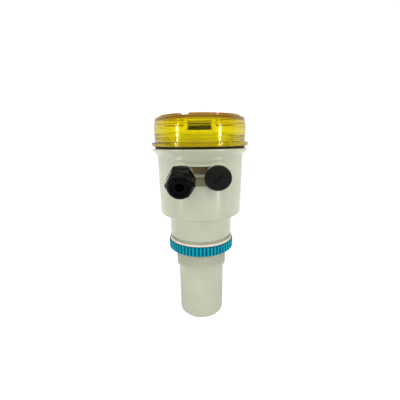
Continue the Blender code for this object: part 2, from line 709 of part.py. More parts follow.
def make_gland_body(port):
    """Threaded shank, hexagon and male thread with the slotted cage that holds the rubber insert."""
    back = -PORT_THREAD_LENGTH
    corners = [
        (0.0, MALE_FRONT),
        (GLAND_MALE_RADIUS, MALE_FRONT, GLAND_MALE_RADIUS * 0.08),
        (GLAND_MALE_RADIUS, (HEX_BACK + HEX_FRONT) / 2),
        (PORT_THREAD_RADIUS, (HEX_BACK + HEX_FRONT) / 2),
        (PORT_THREAD_RADIUS, back, PORT_THREAD_RADIUS * 0.08),
        (0.0, back),
    ]
    body = turned("gland_body", corners, STEPS_MEDIUM, port)
    hexagon = rod("gland_hexagon", hex_radius(GLAND_ACROSS_FLATS), HEX_BACK, HEX_FRONT, 6, port)
    chamfer(hexagon, GLAND_HEX_HEIGHT * 0.12, math.radians(50.0))
    combine(body, hexagon, "UNION")
    for index in range(GLAND_SLOT_PAIRS):
        slot = block(
            f"gland_slot_{index}",
            (-2 * GLAND_MALE_RADIUS, -GLAND_FINGER_SLOT / 2, MALE_FRONT - GLAND_FINGER_SLOT_DEPTH),
            (2 * GLAND_MALE_RADIUS, GLAND_FINGER_SLOT / 2, MALE_FRONT + GAP),
            port,
            turn=(0.0, 0.0, math.pi * (index + 0.5) / GLAND_SLOT_PAIRS),
        )
        combine(body, slot, "DIFFERENCE")
    corners = [
        (0.0, MALE_FRONT + 2 * GAP),
        (GLAND_CAGE_RADIUS, MALE_FRONT + 2 * GAP),
        (GLAND_CAGE_RADIUS, CAGE_BACK),
        (GLAND_BORE_RADIUS, CAGE_BACK),
        (GLAND_BORE_RADIUS, back - GAP),
        (0.0, back - GAP),
    ]
    return combine(body, turned("gland_bore", corners, STEPS_MEDIUM, port), "DIFFERENCE")


def make_gland_seal_insert(port):
    """Rubber tube that grips the cable, in the body's cage."""
    radius = GLAND_CAGE_RADIUS - GAP
    low = CAGE_BACK + GAP
    high = low + INSERT_LENGTH
    corners = [
        (INSERT_BORE_RADIUS, high),
        (radius, high, radius * 0.12),
        (radius, low),
        (INSERT_BORE_RADIUS, low),
    ]
    return turned("gland_seal_insert", corners, STEPS_SMALL, port, ring=True)


def make_gland_dome_nut(port):
    """Domed nut with a hexagon at its back and a round front."""
    shoulder = DOME_HEX_FRONT
    corners = [
        (0.0, DOME_FRONT),
        (DOME_FRONT_RADIUS, DOME_FRONT, DOME_WALL * 1.4),
        (DOME_BASE_RADIUS, shoulder + DOME_WALL, DOME_WALL * 2.5),
        (DOME_BASE_RADIUS, DOME_BACK, DOME_WALL * 0.4),
        (0.0, DOME_BACK),
    ]
    nut = turned("gland_dome_nut", corners, STEPS_MEDIUM, port)
    hexagon = rod("dome_hexagon", hex_radius(GLAND_ACROSS_FLATS), DOME_BACK, shoulder, 6, port)
    chamfer(hexagon, DOME_HEX_HEIGHT * 0.1, math.radians(50.0))
    combine(nut, hexagon, "UNION")
    thread = GLAND_MALE_RADIUS + RUNNING_GAP
    corners = [
        (0.0, DOME_FRONT + GAP),
        (DOME_HOLE_RADIUS, DOME_FRONT + GAP),
        (DOME_HOLE_RADIUS, DOME_FRONT - DOME_WALL),
        (GLAND_CAGE_RADIUS, DOME_FRONT - DOME_WALL),
        (thread, MALE_FRONT + GAP),
        (thread, DOME_BACK - GAP),
        (0.0, DOME_BACK - GAP),
    ]
    return combine(nut, turned("dome_bore", corners, STEPS_MEDIUM, port), "DIFFERENCE")


def make_blanking_plug(port):
    """Round-headed plug with a driver slot, hollow from behind."""
    front = HEX_BACK + PLUG_HEAD_THICKNESS
    back = -PORT_THREAD_LENGTH
    corners = [
        (0.0, front),
        (PLUG_HEAD_RADIUS, front, PLUG_HEAD_FILLET),
        (PLUG_HEAD_RADIUS, HEX_BACK, PLUG_HEAD_FILLET * 0.3),
        (PORT_THREAD_RADIUS, HEX_BACK),
        (PORT_THREAD_RADIUS, back, PORT_THREAD_RADIUS * 0.08),
        (PLUG_BORE_RADIUS, back),
        (PLUG_BORE_RADIUS, HEX_BACK, PLUG_HEAD_FILLET),
        (0.0, HEX_BACK),
    ]
    plug = turned("blanking_plug", corners, STEPS_MEDIUM, port)
    slot = block(
        "plug_slot",
        (-PLUG_SLOT_LENGTH / 2, -PLUG_SLOT_WIDTH / 2, front - PLUG_SLOT_DEPTH),
        (PLUG_SLOT_LENGTH / 2, PLUG_SLOT_WIDTH / 2, front + PLUG_SLOT_DEPTH),
        port,
        turn=(0.0, 0.0, PLUG_SLOT_ANGLE),
    )
    return combine(plug, slot, "DIFFERENCE")


def console_corners(inset, top_inset, z_low):
    """The console's side outline (y, z), moved inwards by its walls and run down to z_low."""
    slope = math.tan(CONSOLE_TILT)
    run = CONSOLE_LENGTH * math.cos(CONSOLE_TILT)
    front = -CONSOLE_FRONT
    z_front = Z_PLATE_TOP + CONSOLE_FRONT_HEIGHT
    drop = top_inset / math.cos(CONSOLE_TILT)
    y_front = front + inset
    y_back = front + run - inset
    return [
        (y_front, z_low),
        (y_back, z_low),
        (y_back, z_front + (y_back - front) * slope - drop),
        (y_front, z_front + (y_front - front) * slope - drop),
    ]


def console_prism(name, width, inset, top_inset, z_low):
    """The console's outline extruded across the sensor."""
    turn = (math.radians(90.0), 0.0, math.radians(90.0))
    return outline(name, (console_corners(inset, top_inset, z_low),), width, (0.0, 0.0, 0.0), turn)


def display_guide():
    """Middle of the console's sloping face, +Z out of it."""
    along = CONSOLE_LENGTH / 2
    y = -CONSOLE_FRONT + along * math.cos(CONSOLE_TILT)
    z = Z_PLATE_TOP + CONSOLE_FRONT_HEIGHT + along * math.sin(CONSOLE_TILT)
    return guide("display_axis", (0.0, y, z), (CONSOLE_TILT, 0.0, 0.0))


def centred_block(name, width, length, low, high, parent):
    """A box centred across and along its parent's frame."""
    return block(name, (-width / 2, -length / 2, low), (width / 2, length / 2, high), parent)


def make_face_plate(display_axis):
    """Inner plate with the display console, key holes, screw holes and an opening round the terminals."""
    plate = rod("face_plate", MOUTH_RECESS_RADIUS - HOLE_CLEARANCE, Z_PLATE, Z_PLATE_TOP, STEPS_LARGE)
    combine(plate, console_prism("console", CONSOLE_WIDTH, 0.0, 0.0, Z_PLATE + GAP), "UNION")
    room_width = CONSOLE_WIDTH - 2 * CONSOLE_WALL
    z_below = Z_PLATE - PLATE_THICKNESS
    room = console_prism("console_room", room_width, CONSOLE_WALL, CONSOLE_TOP_WALL, z_below)
    combine(plate, room, "DIFFERENCE")
    window = centred_block("window", WINDOW_WIDTH, WINDOW_LENGTH, -2 * CONSOLE_TOP_WALL, GAP, display_axis)
    combine(plate, window, "DIFFERENCE")
    step = centred_block(
        "window_step",
        WINDOW_WIDTH + 2 * WINDOW_STEP,
        WINDOW_LENGTH + 2 * WINDOW_STEP,
        -PANE_THICKNESS - 2 * GAP,
        CONSOLE_TOP_WALL,
        display_axis,
    )
    combine(plate, step, "DIFFERENCE")
    holes = [(place, KEY_RADIUS + HOLE_CLEARANCE) for place in key_places()]
    holes += [(place, SCREW_RADIUS + HOLE_CLEARANCE) for place in pillar_places()]
    for index, (place, radius) in enumerate(holes):
        hole = rod(f"plate_hole_{index}", radius, Z_PLATE - GAP, Z_PLATE_TOP + GAP, STEPS_SMALL, None, place)
        combine(plate, hole, "DIFFERENCE")
    half_width = terminal_width() / 2 + 3 * GAP
    half_depth = TERMINAL_DEPTH / 2 + 3 * GAP
    opening = block(
        "terminal_opening",
        (-half_width, TERMINAL_ROW - half_depth, Z_PLATE - GAP),
        (half_width, TERMINAL_ROW + half_depth, Z_PLATE_TOP + GAP),
    )
    return combine(plate, opening, "DIFFERENCE")


def make_display(display_axis):
    """Liquid-crystal display under the console's top."""
    top = -CONSOLE_TOP_WALL - GAP
    return centred_block("display", DISPLAY_WIDTH, DISPLAY_LENGTH, top - DISPLAY_THICKNESS, top, display_axis)


def make_display_pane(display_axis):
    """Clear pane in the console's stepped window."""
    width = WINDOW_WIDTH + 2 * WINDOW_STEP - 2 * HOLE_CLEARANCE
    length = WINDOW_LENGTH + 2 * WINDOW_STEP - 2 * HOLE_CLEARANCE
    return centred_block("display_pane", width, length, -PANE_THICKNESS - GAP, -GAP, display_axis)


def key_places():
    """Centres of the keys, in a row behind the console."""
    first = -KEY_SPACING * (KEY_COUNT - 1) / 2
    return [(first + KEY_SPACING * index, KEY_ROW) for index in range(KEY_COUNT)]


def make_key(name, place):
    """Key with a flange that keeps it under the plate and a foot over its switch."""
    z_top = Z_PLATE_TOP + KEY_STAND_OUT
    z_flange = Z_PLATE - GAP
    z_low = z_flange - KEY_FLANGE_THICKNESS
    z_foot = z_low - KEY_FOOT_LENGTH
    corners = [
        (0.0, z_top),
        (KEY_RADIUS, z_top, KEY_RADIUS * 0.25),
        (KEY_RADIUS, z_flange),
        (KEY_FLANGE_RADIUS, z_flange),
        (KEY_FLANGE_RADIUS, z_low),
        (KEY_FOOT_RADIUS, z_low),
        (KEY_FOOT_RADIUS, z_foot),
        (0.0, z_foot),
    ]
    return turned(name, corners, STEPS_SMALL, None, (*place, 0.0))


def make_switch(name, place):
    """Small push switch on the display board, under its key."""
    z_low = Z_DISPLAY_BOARD + BOARD_THICKNESS + GAP
    z_high = z_low + SWITCH_HEIGHT
    half = SWITCH_SIZE / 2
    switch = block(name, (-half, -half, z_low), (half, half, z_high), None, (*place, 0.0))
    z_plunger = z_high + SWITCH_PLUNGER_HEIGHT
    plunger = rod(f"{name}_plunger", SWITCH_PLUNGER_RADIUS, z_high - GAP, z_plunger, STEPS_SMALL, None, place)
    return combine(switch, plunger, "UNION")


def make_board(name, z_low):
    """Round circuit board with screw holes and a notch where the cable's cores pass up."""
    z_high = z_low + BOARD_THICKNESS
    board = rod(name, BOARD_RADIUS, z_low, z_high, STEPS_MEDIUM)
    notch = block(
        f"{name}_notch",
        (-WIRE_NOTCH_WIDTH / 2, WIRE_NOTCH_START, z_low - GAP),
        (WIRE_NOTCH_WIDTH / 2, 2 * BOARD_RADIUS, z_high + GAP),
    )
    combine(board, notch, "DIFFERENCE")
    for index, place in enumerate(pillar_places()):
        hole_radius = SCREW_RADIUS + HOLE_CLEARANCE
        hole = rod(f"{name}_hole_{index}", hole_radius, z_low - GAP, z_high + GAP, STEPS_SMALL, None, place)
        combine(board, hole, "DIFFERENCE")
    return board


def make_spacer(name, place, z_low, length):
    """Tube round a screw, between two plates."""
    inner = SCREW_RADIUS + HOLE_CLEARANCE
    z_high = z_low + length
    corners = [(inner, z_high), (SPACER_RADIUS, z_high), (SPACER_RADIUS, z_low), (inner, z_low)]
    return turned(name, corners, STEPS_SMALL, None, (*place, 0.0), ring=True)


def slotted_screw(name, corners, place, z_top, radius):
    """Turned screw with a straight driver slot in its head."""
    screw = turned(name, corners, STEPS_SMALL, None, (*place, 0.0))
    slot = block(
        f"{name}_slot",
        (-2 * radius, -SCREW_SLOT_WIDTH / 2, z_top - SCREW_SLOT_DEPTH),
        (2 * radius, SCREW_SLOT_WIDTH / 2, z_top + SCREW_SLOT_DEPTH),
        None,
        (*place, 0.0),
    )
    return combine(screw, slot, "DIFFERENCE")


def make_plate_screw(name, place):
    """Long screw through the plate, both boards and their spacers into a pillar."""
    z_head = Z_PLATE_TOP + GAP
    z_top = z_head + SCREW_HEAD_HEIGHT
    z_tip = Z_PILLAR_TOP - SCREW_GRIP
    corners = [
        (0.0, z_top),
        (SCREW_HEAD_RADIUS, z_top, SCREW_HEAD_HEIGHT * 0.3),
        (SCREW_HEAD_RADIUS, z_head),
        (SCREW_RADIUS, z_head),
        (SCREW_RADIUS, z_tip),
        (0.0, z_tip),
    ]
    return slotted_screw(name, corners, place, z_top, SCREW_HEAD_RADIUS)


def terminal_width():
    """Length of the terminal block across the sensor."""
    return TERMINAL_COUNT * TERMINAL_PITCH


def terminal_places():
    """Centres of the terminals."""
    first = -TERMINAL_PITCH * (TERMINAL_COUNT - 1) / 2
    return [(first + TERMINAL_PITCH * index, TERMINAL_ROW) for index in range(TERMINAL_COUNT)]


def terminal_levels():
    """Bottom and top of the terminal block."""
    z_low = Z_DISPLAY_BOARD + BOARD_THICKNESS + GAP
    return z_low, z_low + TERMINAL_HEIGHT


def make_terminal_block():
    """Screw terminals with an entry for each core at the back."""
    z_low, z_high = terminal_levels()
    half_width = terminal_width() / 2
    half_depth = TERMINAL_DEPTH / 2
    low = (-half_width, TERMINAL_ROW - half_depth, z_low)
    high = (half_width, TERMINAL_ROW + half_depth, z_high)
    terminals = chamfer(block("terminal_block", low, high), TERMINAL_PITCH * 0.1)
    well = TERMINAL_SCREW_LENGTH + TERMINAL_SCREW_SUNK + GAP
    for index, (x, y) in enumerate(terminal_places()):
        hole_radius = TERMINAL_SCREW_RADIUS + GAP
        hole = rod(f"terminal_well_{index}", hole_radius, z_high - well, z_high + GAP, STEPS_SMALL // 2, None, (x, y))
        combine(terminals, hole, "DIFFERENCE")
        entry = block(
            f"terminal_entry_{index}",
            (x - TERMINAL_ENTRY / 2, y, z_low + TERMINAL_PITCH * 0.2),
            (x + TERMINAL_ENTRY / 2, y + TERMINAL_DEPTH, z_low + TERMINAL_PITCH * 0.2 + TERMINAL_ENTRY),
        )
        combine(terminals, entry, "DIFFERENCE")
    return terminals


def make_terminal_screw(name, place):
    """Clamping screw sunk in its well."""
    z_top = terminal_levels()[1] - TERMINAL_SCREW_SUNK
    z_low = z_top - TERMINAL_SCREW_LENGTH
    corners = [(0.0, z_top), (TERMINAL_SCREW_RADIUS, z_top), (TERMINAL_SCREW_RADIUS, z_low), (0.0, z_low)]
    screw = turned(name, corners, STEPS_SMALL // 2, None, (*place, 0.0))
    slot = block(
        f"{name}_slot",
        (-TERMINAL_PITCH, -SCREW_SLOT_WIDTH / 2, z_top - SCREW_SLOT_DEPTH),
        (TERMINAL_PITCH, SCREW_SLOT_WIDTH / 2, z_top + SCREW_SLOT_DEPTH),
        None,
        (*place, 0.0),
    )
    return combine(screw, slot, "DIFFERENCE")


def on_main_board():
    """Level on which the main board's components sit."""
    return Z_MAIN_BOARD + BOARD_THICKNESS + GAP


def make_pulse_transformer():
    """Pot-core transformer that drives the transducer, waisted where its winding shows."""
    z_low = on_main_board()
    z_high = z_low + TRANSFORMER_HEIGHT
    third = TRANSFORMER_HEIGHT / 3
    waist = TRANSFORMER_RADIUS - TRANSFORMER_WAIST_DEPTH
    corners = [
        (0.0, z_high),
        (TRANSFORMER_RADIUS, z_high),
        (TRANSFORMER_RADIUS, z_high - third),
        (waist, z_high - third),
        (waist, z_low + third),
        (TRANSFORMER_RADIUS, z_low + third),
        (TRANSFORMER_RADIUS, z_low),
        (0.0, z_low),
    ]
    return turned("pulse_transformer", corners, STEPS_SMALL, None, (*TRANSFORMER_PLACE, 0.0))


def make_capacitor(name, place):
    """Electrolytic capacitor can with its beaded foot."""
    z_low = on_main_board()
    z_high = z_low + CAPACITOR_HEIGHT
    bead = CAPACITOR_RADIUS * 0.9
    corners = [
        (0.0, z_high),
        (CAPACITOR_RADIUS, z_high, CAPACITOR_RADIUS * 0.15),
        (CAPACITOR_RADIUS, z_low + CAPACITOR_HEIGHT * 0.22),
        (bead, z_low + CAPACITOR_HEIGHT * 0.16),
        (CAPACITOR_RADIUS, z_low + CAPACITOR_HEIGHT * 0.1),
        (CAPACITOR_RADIUS, z_low),
        (0.0, z_low),
    ]
    return turned(name, corners, STEPS_SMALL, None, (*place, 0.0))


def make_board_header():
    """Pin header that joins the two boards."""
    z_low = on_main_board()
    z_high = Z_DISPLAY_BOARD - GAP
    half = HEADER_LENGTH / 2
    low = (-half, HEADER_ROW - HEADER_DEPTH / 2, z_low)
    high = (half, HEADER_ROW + HEADER_DEPTH / 2, z_high)
    return block("board_header", low, high)


def transducer_levels():
    """Heights of the transducer's layers, each a gap above the one below."""
    matching = SOUND_FACE_THICKNESS + GAP
    piezo = matching + MATCHING_THICKNESS + GAP
    backing = piezo + PIEZO_THICKNESS + GAP
    potting = backing + BACKING_THICKNESS + GAP
    return matching, piezo, backing, potting


def make_transducer():
    """Matching layer, piezo disc, damping block and potting, stacked on the sound face."""
    matching, piezo, backing, potting = transducer_levels()
    radius = TRANSDUCER_RADIUS
    return (
        rod("matching_disc", radius, matching, matching + MATCHING_THICKNESS, STEPS_MEDIUM),
        rod("piezo_disc", radius - PIEZO_INSET, piezo, piezo + PIEZO_THICKNESS, STEPS_MEDIUM),
        rod("backing_block", radius, backing, backing + BACKING_THICKNESS, STEPS_MEDIUM),
        rod("potting", PROBE_BORE_LOW - GAP, potting, potting + POTTING_THICKNESS, STEPS_MEDIUM),
    )


def make_temperature_sensor():
    """Capsule beside the transducer, on the inside of the sound face."""
    z_low = SOUND_FACE_THICKNESS + GAP
    z_high = z_low + SENSOR_LENGTH
    corners = [(0.0, z_high), (SENSOR_RADIUS, z_high, SENSOR_RADIUS * 0.5), (SENSOR_RADIUS, z_low), (0.0, z_low)]
    return turned("temperature_sensor", corners, STEPS_SMALL, None, (SENSOR_PLACE, 0.0, 0.0))


def make_lead_plug():
    """Connector of the transducer's lead, under the main board."""
    x, y = LEAD_PLUG_PLACE
    width, depth, height = LEAD_PLUG_SIZE
    z_high = Z_MAIN_BOARD - GAP
    return block("lead_plug", (x - width / 2, y - depth / 2, z_high - height), (x + width / 2, y + depth / 2, z_high))


def make_transducer_lead():
    """Screened lead from the potting up through the neck to its connector, in one smooth bend."""
    x, y = LEAD_START
    z_low = transducer_levels()[3] + POTTING_THICKNESS + GAP
    start = Vector((x, y, z_low))
    z_high = Z_MAIN_BOARD - 2 * GAP - LEAD_PLUG_SIZE[2]
    end = Vector((*LEAD_PLUG_PLACE, z_high))
    curve = bpy.data.curves.new("transducer_lead", "CURVE")
    curve.dimensions = "3D"
    curve.bevel_depth = LEAD_RADIUS
    curve.bevel_resolution = 2
    curve.use_fill_caps = True
    spline = curve.splines.new("POLY")
    spline.points.add(LEAD_POINTS - 1)
    for index, point in enumerate(spline.points):
        share = index / (LEAD_POINTS - 1)
        ease = share * share * (3 - 2 * share)
        place = Vector((start.x + (end.x - start.x) * ease, start.y + (end.y - start.y) * ease, 0.0))
        point.co = (place.x, place.y, start.z + (end.z - start.z) * share, 1.0)
    return curve_to_mesh(add_object("transducer_lead", curve))


def main():
    """Model every piece."""
    clear_scene()
    new_collection(PARTS_NAME)
    new_collection(CUTTERS_NAME)
    shell = new_material("pale_shell_plastic", (0.56, 0.58, 0.45), 0.38)
    amber = new_material("amber_cover_plastic", (0.80, 0.55, 0.01), 0.12, transmission=0.8)
    teal = new_material("teal_nut_plastic", (0.01, 0.30, 0.38), 0.40)
    cream = new_material("cream_gasket_rubber", (0.72, 0.74, 0.62), 0.45)
    black = new_material("black_gland_nylon", (0.02, 0.02, 0.02), 0.42)
    rubber = new_material("black_rubber", (0.012, 0.012, 0.012), 0.65)
    plate_grey = new_material("face_plate_plastic", (0.70, 0.70, 0.66), 0.45)
    glass = new_material("display_pane", (0.85, 0.88, 0.85), 0.05, transmission=0.9)
    crystal = new_material("display_crystal", (0.10, 0.13, 0.06), 0.25)
    key_grey = new_material("key_plastic", (0.12, 0.13, 0.14), 0.50)
    board_green = new_material("board_laminate", (0.02, 0.16, 0.06), 0.45)
    steel = new_material("zinc_plated_steel", (0.55, 0.55, 0.53), 0.30, 1.0)
    ferrite = new_material("ferrite", (0.06, 0.06, 0.065), 0.55)
    can = new_material("capacitor_can", (0.05, 0.06, 0.20), 0.35)
    ceramic = new_material("piezo_ceramic", (0.60, 0.52, 0.38), 0.50)
    epoxy = new_material("epoxy", (0.10, 0.09, 0.08), 0.40)
    terminal_green = new_material("terminal_plastic", (0.03, 0.25, 0.10), 0.45)

    ports = port_guides()
    gland_port, plug_port = ports
    settle(make_housing(ports), shell)
    settle(make_probe_shell(), shell)
    settle(make_cover(), amber)
    settle(make_cover_seal(), rubber)
    settle(make_lock_nut(), teal)
    settle(make_sealing_gasket(), cream)

    settle(make_washer("gland_washer", gland_port), rubber)
    settle(make_gland_body(gland_port), black)
    settle(make_gland_seal_insert(gland_port), rubber)
    settle(make_gland_dome_nut(gland_port), black)
    settle(make_washer("plug_washer", plug_port), rubber)
    settle(make_blanking_plug(plug_port), black)

    display_axis = display_guide()
    settle(make_face_plate(display_axis), plate_grey)
    settle(make_display(display_axis), crystal)
    settle(make_display_pane(display_axis), glass)
    for index, place in enumerate(key_places(), 1):
        settle(make_key(f"key_{index}", place), key_grey)
        settle(make_switch(f"key_switch_{index}", place), ferrite)

    settle(make_board("display_board", Z_DISPLAY_BOARD), board_green)
    settle(make_board("main_board", Z_MAIN_BOARD), board_green)
    for index, place in enumerate(pillar_places(), 1):
        settle(make_spacer(f"plate_spacer_{index}", place, Z_SPACER_HIGH, DISPLAY_STANDOFF), steel)
        settle(make_spacer(f"board_spacer_{index}", place, Z_SPACER_LOW, BOARD_SPACING), steel)
        settle(make_plate_screw(f"plate_screw_{index}", place), steel)
    settle(make_terminal_block(), terminal_green)
    for index, place in enumerate(terminal_places(), 1):
        settle(make_terminal_screw(f"terminal_screw_{index}", place), steel)
    settle(make_pulse_transformer(), ferrite)
    for index, place in enumerate(CAPACITOR_PLACES, 1):
        settle(make_capacitor(f"capacitor_{index}", place), can)
    settle(make_board_header(), ferrite)

    for layer, finish in zip(make_transducer(), (epoxy, ceramic, epoxy, epoxy)):
        settle(layer, finish)
    settle(make_temperature_sensor(), steel)
    settle(make_lead_plug(), plate_grey)
    settle(make_transducer_lead(), rubber)


main()
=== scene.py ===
"""Looks of the ultrasonic level sensor: finely turned plastics, threads, ribs and procedural materials.

Sizes are in millimetres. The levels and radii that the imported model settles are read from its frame.
"""
import math

import bmesh
import bpy
from mathutils import Matrix, Vector


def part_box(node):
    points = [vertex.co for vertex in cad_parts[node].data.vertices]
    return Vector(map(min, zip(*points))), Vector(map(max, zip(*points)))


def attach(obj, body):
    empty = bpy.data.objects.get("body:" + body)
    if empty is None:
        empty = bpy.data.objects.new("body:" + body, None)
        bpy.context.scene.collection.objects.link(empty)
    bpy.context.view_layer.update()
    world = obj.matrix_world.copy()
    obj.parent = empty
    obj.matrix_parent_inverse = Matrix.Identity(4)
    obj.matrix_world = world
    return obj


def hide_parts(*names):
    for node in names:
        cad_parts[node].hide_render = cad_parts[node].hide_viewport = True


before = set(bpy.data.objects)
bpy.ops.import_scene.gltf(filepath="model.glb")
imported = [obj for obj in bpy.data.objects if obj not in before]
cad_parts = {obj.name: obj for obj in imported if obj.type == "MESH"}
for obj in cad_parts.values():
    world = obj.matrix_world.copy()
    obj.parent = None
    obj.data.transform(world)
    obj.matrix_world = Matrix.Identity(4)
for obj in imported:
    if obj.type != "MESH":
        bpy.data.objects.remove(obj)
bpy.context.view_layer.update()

MM = 0.001
ARC_STEPS = 6
TURN_STEPS = 144
GAP = 0.3  # between the model's touching faces


def span(node):
    """Lowest and highest level of a CAD node, and its reach along +X."""
    low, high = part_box(node)
    return low.z / MM, high.z / MM, high.x / MM


NECK_Z, MOUTH_Z, FLANGE_RADIUS = span("housing")
COLLAR_RADIUS = span("probe_shell")[2]
COVER_Z, RIM_Z, COVER_FLANGE_RADIUS = span("cover")
SEAL_Z, SEAL_TOP, SEAL_RADIUS = span("cover_seal")
NUT_Z, NUT_TOP, NUT_RADIUS = span("lock_nut")
GASKET_Z, GASKET_LIP_Z, GASKET_RADIUS = span("sealing_gasket")
PLATE_Z = span("face_plate")[0]
SEAT_Z = SEAL_Z - GAP

# Colours and optical values
PALE_LOW = (0.565, 0.588, 0.447)
PALE_HIGH = (0.622, 0.640, 0.499)
# Painted shade in the bridge's pocket: darker brown at its top, lighter below
POCKET_SHADE_UPPER = (0.330, 0.250, 0.120)
POCKET_SHADE_LOWER = (0.370, 0.360, 0.190)
AMBER_TINT = (1.0, 0.985, 0.90)
AMBER_EDGE = (0.60, 0.34, 0.02)
AMBER_EDGE_CLEARNESS = 0.60
AMBER_THROUGH = (0.953, 0.928, 0.0, 1.0)
AMBER_DENSITY = 900.0
UNDERSIDE_HAZE = 0.24  # extra roughness under the cover's top
CREST_TEAL = (0.0, 0.430, 0.500)
# Painted shade: the darker teal of the nut's rib valleys
SHADED_VALLEY_TEAL = (0.0, 0.120, 0.230)


# Mesh helpers

def rounded(corners, steps=ARC_STEPS):
    """Points (r, z) from corners (r, z) or (r, z, fillet), with arcs in place of the filleted ones."""
    points = []
    last = len(corners) - 1
    for index, corner in enumerate(corners):
        here = Vector(corner[:2])
        fillet = corner[2] if len(corner) > 2 else 0.0
        if fillet == 0.0 or index in (0, last):
            points.append(tuple(here))
            continue
        back = (Vector(corners[index - 1][:2]) - here).normalized()
        ahead = (Vector(corners[index + 1][:2]) - here).normalized()
        half = back.angle(ahead) / 2
        centre = here + (back + ahead).normalized() * fillet / math.sin(half)
        start = here + back * fillet / math.tan(half) - centre
        end = here + ahead * fillet / math.tan(half) - centre
        sweep = start.angle_signed(end)
        for step in range(steps + 1):
            points.append(tuple(centre + Matrix.Rotation(-sweep * step / steps, 2) @ start))
    return points


def even(count):
    """Angles spaced evenly round the axis."""
    return [2 * math.pi * i / count for i in range(count)]


def ease(share):
    """A smooth step from 0 to 1."""
    share = max(0.0, min(1.0, share))
    return share * share * (3 - 2 * share)


def sweep_section(shape, angles, section, ring):
    """Add to a bmesh the surface that a section sweeps: section(theta) gives (r, z) points."""
    columns = []
    for theta in angles:
        c, s = math.cos(theta), math.sin(theta)
        columns.append([shape.verts.new((r * c * MM, r * s * MM, z * MM)) for r, z in section(theta)])
    rows = len(columns[0])
    for i, column in enumerate(columns):
        other = columns[(i + 1) % len(columns)]
        for j in range(rows if ring else rows - 1):
            k = (j + 1) % rows
            shape.faces.new((column[j], other[j], other[k], column[k]))


def add_thread(shape, core, crest, low, high, pitch, per_turn=72):
    """A helical ridge with run-out at both ends, sunk a little in its core."""
    foot, tip, sunk, run_out = pitch * 0.38, pitch * 0.14, 0.15, 0.6
    count = int((high - low) / pitch * per_turn)
    previous = None
    for index in range(count + 1):
        theta = 2 * math.pi * index / per_turn
        level = low + pitch * index / per_turn
        share = min(1.0, index / (per_turn * run_out), (count - index) / (per_turn * run_out))
        top = core - sunk + (crest - core + sunk) * share
        flank = core + (top - core) * 0.6
        section = ((core - sunk, -foot), (flank, -tip * 1.5), (top, -tip), (top, tip), (flank, tip * 1.5),
                   (core - sunk, foot))
        c, s = math.cos(theta), math.sin(theta)
        ring = [shape.verts.new((r * c * MM, r * s * MM, (level + rise) * MM)) for r, rise in section]
        if previous:
            for j in range(len(ring)):
                k = (j + 1) % len(ring)
                shape.faces.new((previous[j], ring[j], ring[k], previous[k]))
        else:
            shape.faces.new(ring[::-1])
        previous = ring
    shape.faces.new(previous)


def weld(shape, matrix=None):
    """Merge a bmesh's doubled points, face it outwards and place it."""
    bmesh.ops.remove_doubles(shape, verts=shape.verts, dist=0.000002)
    bmesh.ops.dissolve_degenerate(shape, edges=shape.edges, dist=0.000001)
    bmesh.ops.recalc_face_normals(shape, faces=shape.faces)
    if matrix is not None:
        bmesh.ops.transform(shape, matrix=matrix, verts=shape.verts)
    return shape


def add_object(name, shape):
    """A bmesh as a new object in the scene."""
    mesh = bpy.data.meshes.new(name)
    shape.to_mesh(mesh)
    shape.free()
    thing = bpy.data.objects.new(name, mesh)
    bpy.context.scene.collection.objects.link(thing)
    return thing


def shade(thing, material, angle=30.0):
    """Give an object its material, and smooth shading up to an angle."""
    thing.data.materials.clear()
    thing.data.materials.append(material)
    thing.data.shade_smooth()
    thing.data.set_sharp_from_angle(angle=math.radians(angle))
    return thing


def turned(corners, steps=TURN_STEPS, matrix=None, ring=False):
    """A closed turned bmesh from filleted corners."""
    points = rounded(corners)
    shape = bmesh.new()
    sweep_section(shape, even(steps), lambda theta: points, ring)
    return weld(shape, matrix)


def box(low, high, bevel=0.0, matrix=None):
    """A bmesh box between two corners, with rounded edges if a bevel is given."""
    shape = bmesh.new()
    bmesh.ops.create_cube(shape, size=1.0)
    bmesh.ops.scale(shape, verts=shape.verts, vec=(Vector(high) - Vector(low)) * MM)
    bmesh.ops.translate(shape, verts=shape.verts, vec=(Vector(low) + Vector(high)) / 2 * MM)
    if bevel:
        bmesh.ops.bevel(shape, geom=shape.edges, offset=bevel * MM, segments=3, profile=0.5, affect="EDGES")
    if matrix is not None:
        bmesh.ops.transform(shape, matrix=matrix, verts=shape.verts)
    return shape


def boolean(thing, shape, operation):
    """Join or cut an object with a bmesh at once."""
    other = add_object("tool", shape)
    step = thing.modifiers.new("step", "BOOLEAN")
    step.operation = operation
    step.solver = "EXACT"
    step.object = other
    mesh = bpy.data.meshes.new_from_object(thing.evaluated_get(bpy.context.evaluated_depsgraph_get()))
    thing.modifiers.clear()
    thing.data = mesh
    bpy.data.objects.remove(other, do_unlink=True)


def stand_for(piece, body, node):
    """A scene piece that rides on a body in place of a CAD node."""
    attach(piece, body)
    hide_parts(node)
    return piece


# Node helpers

def node_material(name):
    """A new material, its node tree and its shader."""
    made = bpy.data.materials.new(name)
    made.use_nodes = True
    return made, made.node_tree, made.node_tree.nodes["Principled BSDF"]


def add_noise(tree, scale, detail=4.0, stretch=(1.0, 1.0, 1.0)):
    """Noise in object coordinates; scale is in cycles a metre."""
    coords = tree.nodes.new("ShaderNodeTexCoord")
    mapping = tree.nodes.new("ShaderNodeMapping")
    mapping.inputs["Scale"].default_value = stretch
    noise = tree.nodes.new("ShaderNodeTexNoise")
    noise.inputs["Scale"].default_value = scale
    noise.inputs["Detail"].default_value = detail
    tree.links.new(coords.outputs["Object"], mapping.inputs["Vector"])
    tree.links.new(mapping.outputs["Vector"], noise.inputs["Vector"])
    return noise.outputs["Fac"]


def ramp(tree, value, *stops):
    """A colour ramp of (position, colour)."""
    node = tree.nodes.new("ShaderNodeValToRGB")
    items = node.color_ramp.elements
    while len(items) < len(stops):
        items.new(0.5)
    for item, (place, colour) in zip(items, stops):
        item.position = place
        item.color = (*colour, 1.0)
    tree.links.new(value, node.inputs["Fac"])
    return node.outputs["Color"]


